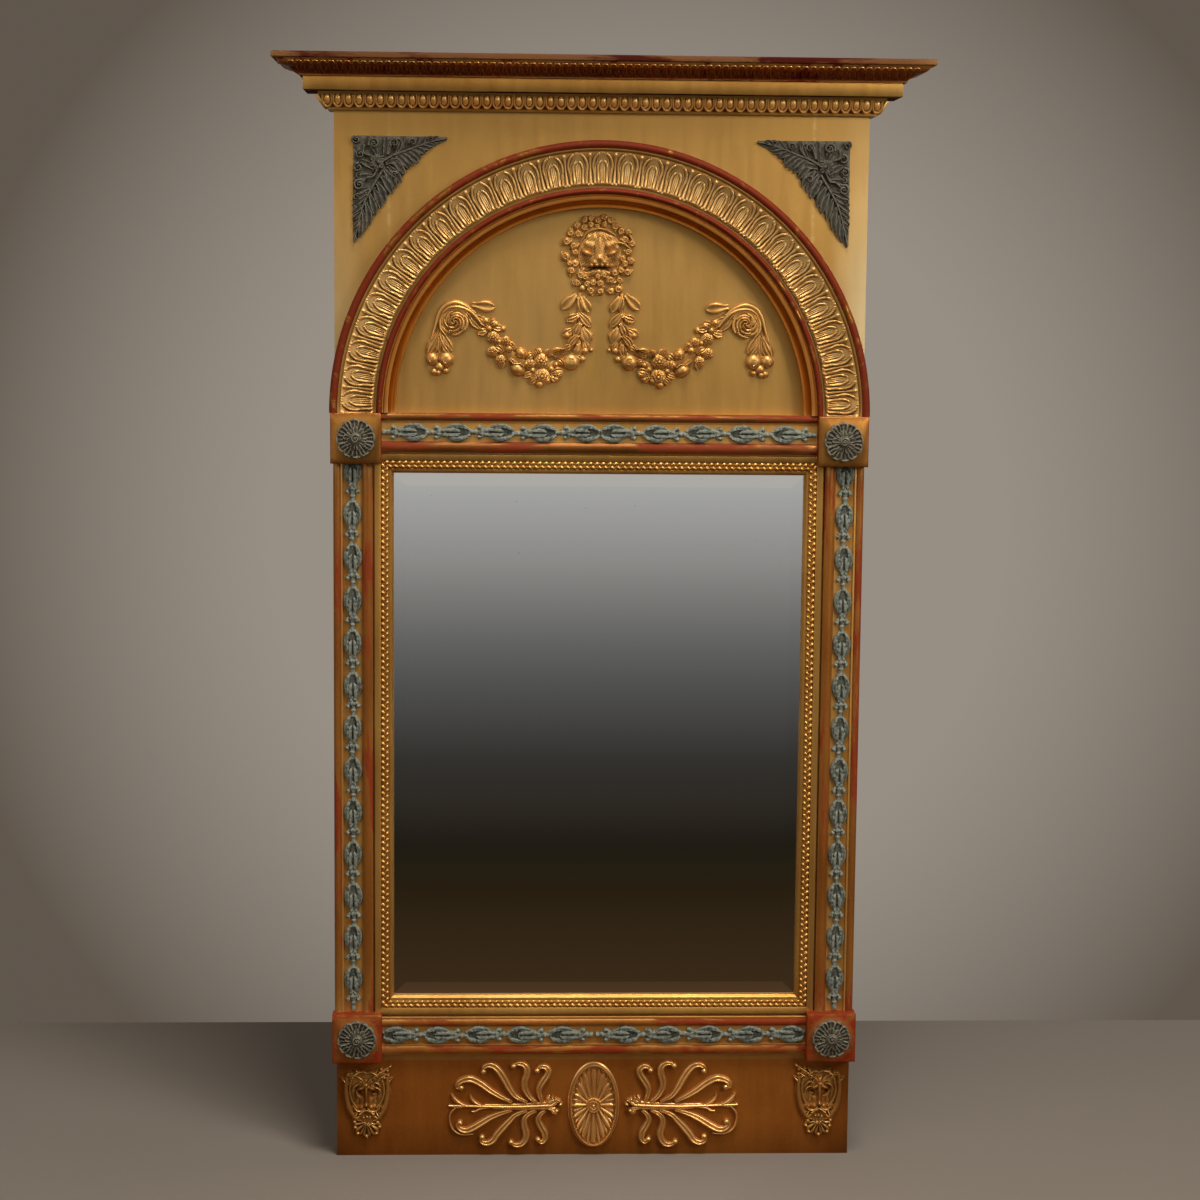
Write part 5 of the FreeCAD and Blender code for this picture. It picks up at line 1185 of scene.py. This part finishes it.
# Leaves by foot, tip and width: a few of them plain, those of the hanging part broader
plain_leaves = (0, 1, 2, 27)
hanging_leaves = 11
for index, (x0, z0, x1, z1, width) in enumerate((
        (27.8, 1302.2, 16.8, 1280.3, 11.5), (32.9, 1301.1, 28.9, 1280.4, 7.0),
        (36.2, 1304.8, 56.2, 1284.3, 13.0), (32.9, 1278.3, 15.3, 1258.2, 9.0),
        (32.9, 1274, 50, 1267.6, 9.0), (28.9, 1263, 37.6, 1244.3, 9.5), (27.4, 1255.8, 18.6, 1234.7, 12.0),
        (39.1, 1254.8, 55.5, 1244.8, 9.0), (31.4, 1245.7, 46, 1228.1, 8.0),
        (32.5, 1232.3, 35.4, 1214.9, 8.5), (24.8, 1237.6, 19.4, 1223.1, 7.0),
        (41.3, 1230.6, 51.5, 1223.4, 8.0), (72.7, 1188.1, 55.1, 1192.3, 10.0),
        (72.7, 1185.6, 63.2, 1178.6, 9.0), (96, 1189, 111.8, 1183.8, 8.0), (94.2, 1183.9, 103.4, 1175, 8.0),
        (118.7, 1191.4, 135.1, 1209, 9.0), (125.3, 1224.1, 136.2, 1233.3, 8.0),
        (145.7, 1209.1, 146.8, 1196, 9.0), (143.2, 1219.2, 155.6, 1226.9, 9.0),
        (136.2, 1233.3, 128.9, 1227.8, 7.0), (165.8, 1251.3, 180.4, 1247.8, 10.0),
        (161.1, 1257.1, 143.9, 1255.1, 9.0), (165.4, 1258.9, 152.7, 1265, 9.0),
        (165.4, 1256.4, 178.2, 1271.4, 10.0), (195, 1276.2, 176.4, 1254.3, 10.0),
        (191, 1273.7, 172.7, 1264.4, 8.0), (188.8, 1288.5, 157.4, 1284.9, 13.5),
        (235.9, 1251.3, 218.4, 1222.1, 11.0), (237, 1247.7, 235.9, 1216.5, 10.0),
        (239.9, 1245.1, 254.2, 1217, 11.0), (233, 1234.2, 222, 1217.8, 9.0),
        (244, 1234.3, 247.6, 1216.2, 9.0), (37.6, 1216, 28.5, 1208.7, 8.0), (54.1, 1201.7, 63.2, 1209, 8.0),
        (108.1, 1209.4, 99.7, 1216.6, 9.0))):
    heading, length = course_of(x0, z0, x1, z1)
    if index in plain_leaves:
        bend, broad, manner = 0, 1.3, {"widest": 0.62, "cup": 0.45}
    else:
        bend, broad = 30 * math.sin(index * 2.2), 1.95 if index < hanging_leaves else 1.65
        manner = {"widest": 0.56, "cup": 0.3, "lobes": 2, "notch": 0.2, "ribs": 1.5, "rib": 0.1}
    swag.blade(x0, z0, heading - bend / 2, length * 1.06, width * broad, panel_out + 0.3,
               8.0 + 1.5 * math.sin(index * 1.7), bend=bend, blunt=0.5, rows=12, columns=11, foot=0.45,
               **manner)
# Fruit by middle, radius and height, every third one fluted, the large ones with a curl
for index, (x, z, radius, rise) in enumerate((
        (43.1, 1205.6, 10.6, 11.5), (26.3, 1210.1, 4.8, 8.0), (22.3, 1222.4, 4.6, 8.0),
        (49.7, 1245.1, 4.6, 8.5), (13.1, 1223.4, 3.0, 6.0), (65.4, 1201.8, 4.2, 9.0),
        (72.3, 1195.3, 4.6, 9.5), (99.7, 1193.1, 4.6, 9.0), (134.4, 1224.2, 5.2, 9.5),
        (149.4, 1234.9, 3.8, 8.5), (143.9, 1253.6, 4.6, 8.0), (154.5, 1260.3, 5.2, 9.0),
        (164, 1253.8, 4.6, 9.0), (169.1, 1265.1, 5.8, 9.5), (227.2, 1208.1, 10.0, 12.0),
        (247.6, 1208.6, 8.8, 11.5), (227.5, 1191.4, 4.6, 8.0), (244.7, 1189.7, 4.8, 8.0),
        (237, 1196.9, 6.4, 9.5), (238.8, 1188.6, 4.6, 8.0), (15.7, 1310.8, 4.6, 7.5),
        (27.4, 1313.8, 4.6, 7.5), (59.5, 1190.9, 4.0, 8.0), (65, 1180.8, 4.4, 8.0),
        (89.1, 1172.7, 5.4, 8.0), (77.8, 1178.4, 5.0, 8.0), (108.5, 1202.2, 4.4, 8.5))):
    swag.dome(x, z, panel_out, radius * 1.16, rise, rings=5, sides=16, wall=0.3,
              flutes=5 if index % 3 == 1 else 0, depth=0.14)
    if radius > 8:
        swag.curl(x, z, radius * 0.6, 0.8, 60 + index * 40, panel_out + rise * 0.55, 1.6, rise=rise * 0.48)
# The shell-like leaf and the two behind the first flower, then the flowers
for x, z, heading, length, width in (
        (48.9, 1224.1, -20, 24, 17), (88.7, 1207.5, 62, 19, 18), (81.4, 1209.2, 120, 16, 14)):
    swag.blade(x, z, heading, length, width, panel_out + 0.5, 8.5, widest=0.7, blunt=0.5, cup=0.3, ribs=3,
               rib=0.14, rows=10, columns=19, foot=0.3)
for x, z, radius, count, rise in (
        (87.3, 1206.7, 10.5, 7, 12.0), (85.8, 1184.2, 11.0, 8, 11.0), (103.7, 1202.2, 7.5, 6, 10.0),
        (158.1, 1240.7, 8.5, 6, 11.0), (159.2, 1219.7, 7.6, 6, 10.0), (139.9, 1236, 6.4, 6, 9.5),
        (147.2, 1208, 6.8, 5, 10.0), (63.2, 1187.6, 6.4, 5, 9.0)):
    flower(swag, x, z, radius, count, panel_out + 1, rise)
# Pear and strawberry
swag.dome(122, 1194.4, panel_out, 12.0, 13.5, stretch=0.84, turn=35, rings=6, sides=20)
swag.strand([(112.8, 1198.6), (118, 1203), (127.1, 1202.4), (134.4, 1208.6)], [1.0, 1.8, 1.8, 0.8],
            panel_out + 5, 7.5)
swag.dome(116.5, 1218.2, panel_out, 10.0, 12.0, stretch=0.8, turn=40, rings=6, sides=18)
for index in range(11):
    reach = 1.7 * math.sqrt(index)
    swag.dome(116.2 + reach * 1.2 * math.cos(index * 2.4), 1217.5 + reach * math.sin(index * 2.4),
              panel_out + 6.6, 1.1, 5.0, sides=6, rings=2)
# The rose: rolled petals round a tight heart
rose_x, rose_z = 214.8, 1263.6
swag.dome(rose_x, rose_z, panel_out, 21.0, 6.0, sides=28, wall=0.5)
petal_body = np.array([0.5, 0.8] + [1] * 8 + [0.8, 0.5])
for reach, count, rise, thick in (
        (18.2, 6, 7.0, 3.8), (12.9, 5, 9.6, 3.4), (8.2, 4, 11.6, 3.0), (4.0, 3, 13.0, 2.4)):
    for index in range(count):
        middle = index * 2 * math.pi / count + reach * 1.9
        petal = [around(rose_x, rose_z, reach + 2.8 * spread, middle + spread)
                 for spread in np.linspace(-0.5, 0.5, 12) * 2 * math.pi / count * 1.3]
        swag.strand(petal, petal_body * thick * 0.72, panel_out, rise, section=7, wall=0.6)
swag.dome(rose_x, rose_z, panel_out + 5, 2.0, 8.0, sides=9, rings=3)
# The ribbon goes over the rose and down its far side
for path, radii, rise in (
        ([(183.7, 1275.8), (198.3, 1286.1), (214.7, 1290.9), (229.3, 1286), (238.1, 1274.1),
         (242.9, 1257.9), (248.7, 1238), (253.8, 1218.1)], [1.6, 3.0, 3.6, 3.6, 3.2, 2.4, 2.0, 1.2], 8.0),
        ([(174.6, 1259), (181.9, 1268.9), (192.8, 1278.8), (207.4, 1284.3), (222, 1283.7), (232.3, 1275.9)],
         [1.4, 2.8, 3.2, 3.0, 2.4, 1.2], 9.5),
        ([(191, 1270.4), (198.3, 1278.1), (209.3, 1281.8), (220.2, 1280.8)], [1.0, 1.8, 1.8, 0.8], 8.0),
        ([(232.6, 1274.1), (235.9, 1263.2), (234.8, 1252), (227.5, 1243.2)], [1.2, 2.4, 2.4, 1.2], 8.5),
        ([(237.7, 1250.6), (242.5, 1239.7), (247.6, 1228.9)], [1.0, 1.8, 1.2], 7.5)):
    swag.strand(smooth(path, 26), 1.3 * graded(radii, 26), panel_out, rise)
swag.pair("swag_", "gilt_carving", ornament_gold, "festoon_", drawn="right")

# Patera: an oval flower of long petals round a domed boss, in a raised rim.
# Carved in lime, gilded, its gold browned by age, and glued on the apron.
apron_carving = gilding("browned_gold", (226, 174, 108), (168, 114, 58), worn=0.05, grime=0.95,
                        bole=(112, 54, 24), shine=0.24, bright=0.75, hollows=0.45)
flower_level = 79.0
half_wide, half_tall = 39.5, 67.5
turns = np.linspace(0, 2 * math.pi, 97)[:-1]


def on_oval(turn, inset, out):
    """A place on the oval, drawn in by an inset."""
    x, z = math.cos(turn) * (half_wide - inset), flower_level + math.sin(turn) * (half_tall - inset)
    return x, z, face_out + out


oval = Carving()
rim_section = [(0, 0), (0, 1.6), (1.0, 2.6), (2.4, 3.2), (3.0, 5.4), (3.6, 8.0), (4.5, 9.2), (5.5, 9.0),
               (6.3, 7.6), (6.9, 4.0), (7.2, 0.0)]
oval.run([[on_oval(turn, inset, out) for inset, out in rim_section] for turn in np.append(turns, 0.0)])
oval.piece("oval_rim", "gilt_carving", apron_carving, "patera_rim")
petals = Carving()
petals.run([[on_oval(turn, 6.8, out) for turn in turns][::-1] for out in (0.0, 1.5)])
# Petals end at even distances along an oval line, and every second one is short
fine = np.linspace(0, 2 * math.pi, 721)
ends = np.column_stack([np.cos(fine) * (half_wide - 9.5), np.sin(fine) * (half_tall - 9.5)])
walked = np.concatenate([[0], np.cumsum(np.hypot(*np.diff(ends, axis=0).T))])
petal_body = np.array([0.5, 0.56, 0.64, 0.72, 0.82, 0.92, 1.0, 1.05, 0.98, 0.6])
petal_count = 32
for index in range(petal_count):
    turn = np.interp(index / petal_count * walked[-1], walked, fine)
    outer = np.array([math.cos(turn) * (half_wide - 9.8), math.sin(turn) * (half_tall - 9.8)])
    inner = np.array([math.cos(turn) * 10.5, math.sin(turn) * 13.5])
    if index % 2:
        inner = inner + (outer - inner) * 0.4
        thick, low, high, pearl_at, pearl = 3.0, 2.6, 6.0, 1.02, 1.5
    else:
        thick, low, high, pearl_at, pearl = 4.3, 4.4, 8.0, 1.075, 1.9
    petal = [inner + (outer - inner) * share + (0, flower_level) for share in np.linspace(0, 1, 10)]
    petals.strand(petal, petal_body * thick, face_out + 1, np.linspace(low, high, 10), section=9)
    x, z = outer * pearl_at
    petals.dome(x, flower_level + z, face_out + 1, pearl, 6.0, sides=8, rings=3)
petals.dome(0, flower_level, face_out, 12.0, 7.0, rings=6, sides=28, wall=0.9)
for reach, thick, rise in ((10.6, 1.3, 8.6), (6.2, 1.5, 9.4)):
    ring = [around(0, flower_level, reach, turned) for turned in np.linspace(0, 2 * math.pi, 29)]
    petals.strand(ring, thick, face_out, rise, section=7)
petals.dome(0, flower_level, face_out + 5, 2.8, 5.4, sides=14)
petals.piece("oval_flower", "gilt_carving", apron_carving, "patera", crease=60)

# Palmettes: on each side of the oval, a stalk laid flat with four arms above and four below,
# each hollowed along its middle and ending in a curl, and a knot of leaves by the rim.
# Carved in lime, gilded and browned like the patera, and glued on the apron.


def ridged(carving, points, widths, seat, rise):
    """An arm with a rounded edge along each side of a hollow."""
    course = smooth(points, 40)
    body = graded(widths, 40)
    heading = np.gradient(course, axis=0)
    heading /= np.linalg.norm(heading, axis=1)[:, None]
    aside = np.column_stack([-heading[:, 1], heading[:, 0]])
    carving.strand(course, body, seat, rise * 0.72, section=9, wall=0.4)
    for way, height in ((1, 1.0), (-1, 0.86)):
        carving.strand(course + way * aside * body[:, None] * 0.46, body * 0.5, seat, rise * height)


fan = Carving()
for points in (
        [(-77.9, 83.2), (-82.1, 93.6), (-83.2, 105), (-77.9, 115.4), (-71.6, 124.8), (-69.5, 133.1),
         (-74.7, 139.3), (-82.1, 138.8), (-86.3, 133.1)],
        [(-86.3, 83.2), (-96.9, 91.5), (-104.3, 104), (-105.3, 115.4), (-102.2, 126.8), (-102.2, 136.2),
         (-107.4, 143), (-115.9, 144.5), (-122.2, 140.4)],
        [(-101.1, 84.2), (-118, 92.5), (-127.5, 104), (-134.9, 117.5), (-142.3, 130), (-150.7, 139.3),
         (-160.2, 141.9), (-167.6, 138.3), (-167.6, 132)],
        [(-124.3, 84.2), (-141.2, 92.5), (-157, 101.9), (-171.8, 112.8), (-185.5, 119.6), (-197.1, 119),
         (-205.6, 114.4), (-207.7, 108.1), (-201.3, 106.6)],
        [(-73.7, 70.7), (-81.1, 64.4), (-84.2, 55.1), (-80, 44.7), (-74.7, 35.3), (-73.7, 26), (-79, 20.8),
         (-84.2, 24.9)],
        [(-87.4, 70.7), (-99, 65.5), (-105.3, 57.2), (-105.3, 45.7), (-102.2, 34.3), (-104.3, 23.9),
         (-110.6, 17.1), (-119, 16.6), (-125.4, 20.8)],
        [(-101.1, 70.7), (-118, 64.4), (-127.5, 55.1), (-137, 44.7), (-146.5, 33.2), (-152.8, 23.9),
         (-162.3, 19.2), (-170.7, 22.8), (-169.7, 29.1)],
        [(-124.3, 71.7), (-141.2, 66.5), (-156, 60.3), (-169.7, 52), (-183.4, 43.6), (-194, 39.5),
         (-202.4, 42.1), (-206.6, 47.8), (-203.4, 52)]):
    ridged(fan, points, [2.6, 3.8, 5.0, 5.6, 5.8, 5.4, 4.6, 3.6, 2.6], face_out, 8.4)
    fan.dome(*points[-1], face_out, 4.6, 9.2, wall=0.4)
stem = smooth([(-62.1, 79), (-87.4, 77.4), (-129.6, 76.4), (-171.8, 77.4), (-214, 78.5)], 46)
for offset, radius, rise, length in ((4.8, 3.4, 7.4, 0.72), (0.0, 3.8, 9.4, 1.0), (-4.8, 3.4, 7.0, 0.66)):
    line = [(x, z + offset * (1 - abs(x + 56) / 200)) for x, z in stem[:int(46 * length)]]
    fan.strand(line, np.linspace(radius, radius * 0.55, len(line)), face_out,
               np.linspace(rise, rise * 0.7, len(line)))
for points, widths in (
        ([(-195, 79), (-203.4, 82.1), (-211.9, 89.4), (-216.1, 96.7)], [2.0, 3.4, 3.6, 1.8]),
        ([(-171.8, 79), (-180.2, 83.2), (-185.5, 89.4), (-187.6, 95.6)], [1.8, 3.0, 2.6, 1.2]),
        ([(-197.1, 78), (-207.7, 76.9), (-220.3, 79)], [2.4, 3.2, 1.8]),
        ([(-157, 75.9), (-171.8, 73.8), (-180.2, 69.6), (-185.5, 69.6)], [1.8, 2.4, 2.2, 1.8]),
        ([(-209.8, 75.9), (-218.2, 65.5), (-218.2, 50.9), (-211.9, 39.5), (-199.2, 33.2), (-182.3, 34.3)],
         [1.4, 1.7, 1.8, 1.8, 1.7, 1.2])):
    fan.strand(smooth(points, 20), graded(widths, 20), face_out, 6.6)
for x, z, heading, length, bend in (
        (-72, 80, 62, 17, -70), (-70, 84, 100, 12, -60), (-66, 80, 20, 15, 20), (-72, 78, -30, 16, 40),
        (-64, 74, -62, 12, 40), (-60, 84, 40, 11, -40)):
    fan.blade(x, z, heading, length, 7.0, face_out + 1, 9.4, bend=bend, cup=0.45, ribs=1, rib=0.1, rows=10,
              columns=9)
for x, z, radius in (
        (-50.5, 80.5, 3.8), (-56.0, 70.5, 4.0), (-57.5, 88.5, 3.0), (-62.5, 91.0, 2.4), (-52.0, 86.5, 2.6)):
    fan.dome(x, z, face_out, radius, 10.4)
fan.pair("fan_", "gilt_carving", apron_carving, "palmette_")

# Rams' heads at the ends of the apron: a narrow muzzle between long horns under a crest of leaves,
# with a beaded strap on the outer side, over a shell of seven lobes. Carved in lime, gilded and browned.
ram_middle = -344.2
ram_gold = gilding("ram_gold", (178, 122, 62), (112, 66, 26), worn=0.06, grime=1.0, bole=(98, 46, 20),
                   shine=0.3, bright=0.62, hollows=0.472)
ram = Carving()
ram.hold((ram_middle, 0, 0))
plate = [
    (-32.2, 126), (-19.6, 131), (0.4, 132.9), (16.7, 129.8), (33.6, 126), (36, 102.2), (33.6, 83.5),
    (26.3, 63.5), (15.5, 56), (19.1, 46), (13.1, 36), (-0.2, 32.9), (-13.5, 37.2), (-18.3, 46), (-15.9, 56),
    (-24.4, 66), (-31, 86), (-32.8, 106)]
ram.run([[(x, z, face_out + out) for x, z in plate][::-1] for out in (-0.2, 1.2)])
brows = []
for way in (-1, 1):
    brows += [(way * 11, 3, 6.0, 6.5, -5.5, way * -20), (way * 11, 3, 2.6, 2.2, 2.6, 0),
              (way * 13, -8, 4.0, 6, -4.0, 0), (way * 9, 13, 6, 2.6, 3.6, way * -25),
              (way * 7, -17, 4.0, 3.6, 2.6, 0)]
face(ram, -0.8, 93, 19, 29, face_out, 6.4, brows + [
    (0, 4, 2.4, 15, 5.4, 0), (0, -12, 3.6, 3.2, 4.6, 0), (0, -17.5, 3.0, 1.2, -4.0, 0),
    (0, -21, 5.0, 2.0, 2.6, 0)], size=56)
ram.dome(-1.4, 112.5, face_out + 6, 4.2, 6.2)
# Horns, cheek locks and leaves
for way in (-1, 1):
    horn = smooth([(way * x, z) for x, z in (
        (30, 124), (31.5, 108), (30.5, 92), (27, 76), (21.5, 65), (16, 59), (11, 63))], 50)
    share = np.linspace(0, 1, 50)
    ram.strand(horn, (2.6 + 1.7 * np.sin(share * math.pi)) * (1 + 0.05 * np.cos(share * 120)), face_out,
               9.0 - 2.5 * share, section=9, wall=0.3)
    lock = smooth([(way * x, z) for x, z in ((23, 120), (26, 104), (23, 88), (15, 76))], 20)
    ram.strand(lock, 2.4, face_out, 6.4)
    for x, z, heading, length in ((14, 70, -40, 15), (19, 82, -66, 15), (27, 112, 62, 17), (9, 126, 70, 15),
                                  (18, 122, 50, 15)):
        ram.blade(way * x, z, 90 - way * (90 - heading), length, 7.5, face_out + 1, 7.4, cup=0.45,
                  bend=-way * 40, lobes=3)
# Crest, curls and the outer strap
for points, thick, rise in (
        ([(0.4, 129.8), (-5.1, 132.5), (-13.5, 130.8), (-20.8, 126), (-29.8, 127.2)], 3.2, 9),
        ([(-2.6, 111), (-6.9, 119.8), (-12.3, 124.8), (-18.3, 126.6)], 2.8, 9.5),
        ([(0.4, 129.8), (5.8, 132), (13.1, 128.5), (16.7, 124.1)], 3, 9),
        ([(1, 111), (3.6, 117.9), (5.8, 121), (10, 123.2)], 2.8, 9.5),
        ([(6.4, 112.5), (11.9, 115.4), (16.7, 114.8), (20.3, 110.4)], 2.6, 9.5),
        ([(7, 104.8), (13.1, 108.2), (19.1, 104.8), (20.5, 97.9)], 2.2, 8.5),
        ([(-8.7, 112.5), (-13.5, 113.2), (-18.3, 109.8), (-21.4, 104.8)], 2.6, 9.5),
        ([(-16.5, 102.9), (-12.9, 96), (-6.3, 92.9)], 2.2, 9),
        ([(-2.6, 76), (-8.7, 71), (-15.3, 72.2), (-20.8, 79.8)], 2.6, 8),
        ([(1, 76), (7, 70.4), (14.3, 71), (20.3, 78.5)], 2.6, 8),
        ([(7, 121), (16.7, 127.2), (26.3, 134.1), (37.2, 142)], 3.4, 7)):
    ram.strand(smooth(points, 16), np.sin(np.linspace(0.5, 2.7, 16)) * thick, face_out, rise, section=7)
# The shell
for x0, z0, x1, z1, width in (
        (-2.6, 54.1, -19.6, 53.8, 10), (-2.4, 52.9, -18.6, 44.8, 11), (-1.7, 51.6, -14.5, 35, 11.5),
        (-0.7, 51, -0.5, 30.4, 12), (1, 51.6, 15.2, 35, 11.5), (1.7, 52.9, 20.1, 45.4, 11),
        (1.9, 54.1, 16.9, 53.2, 10)):
    heading, length = course_of(x0, z0, x1, z1)
    ram.blade(x0, z0, heading, length, width, face_out, 8.4, widest=0.78, blunt=0.5, cup=0.55, rows=12,
              columns=9, foot=0.25)
    ram.dome(x1 + (x0 - x1) * 0.06, z1 + (z0 - z1) * 0.06, face_out, 3.2, 7.6, sides=10, rings=3)
# Beads
for x, z in (
        (19.7, 131), (31.8, 127.2), (26.3, 122.9), (11.9, 121.6), (35, 140.4), (21.5, 136), (-5.1, 60.8),
        (-0.2, 62), (4.4, 61.5), (-27, 129.1), (-23.2, 129.8), (31.2, 134.1)):
    ram.dome(x, z, face_out, 2.4, 8.2, sides=8, rings=3)
ram.strand([(-11.1, 65.4), (-6.3, 69.8), (-0.8, 72.2), (5.2, 69.8), (10.6, 65.4)], 2.6, face_out, 7.6)
ram.pair("ram_head_", "gilt_carving", ram_gold, "ram_mask_")

# Nails: forged iron heads, driven through the ends of the three thin boards
# into the back of the frame
board_low, board_high, board_back = 238, 273, 16.0
nails = Carving()
for index in range(3):
    for up in (30, 241):
        for x in (-314, 314):
            nails.hold((x, board_low + board_high * index + up, board_back), (-1, 0, 0), (0, 1, 0))
            nails.dome(0, 0, -0.4, 3.4, 1.7, rings=3, sides=9)
nails.piece("board_nails", "iron", forged_iron, crease=40)
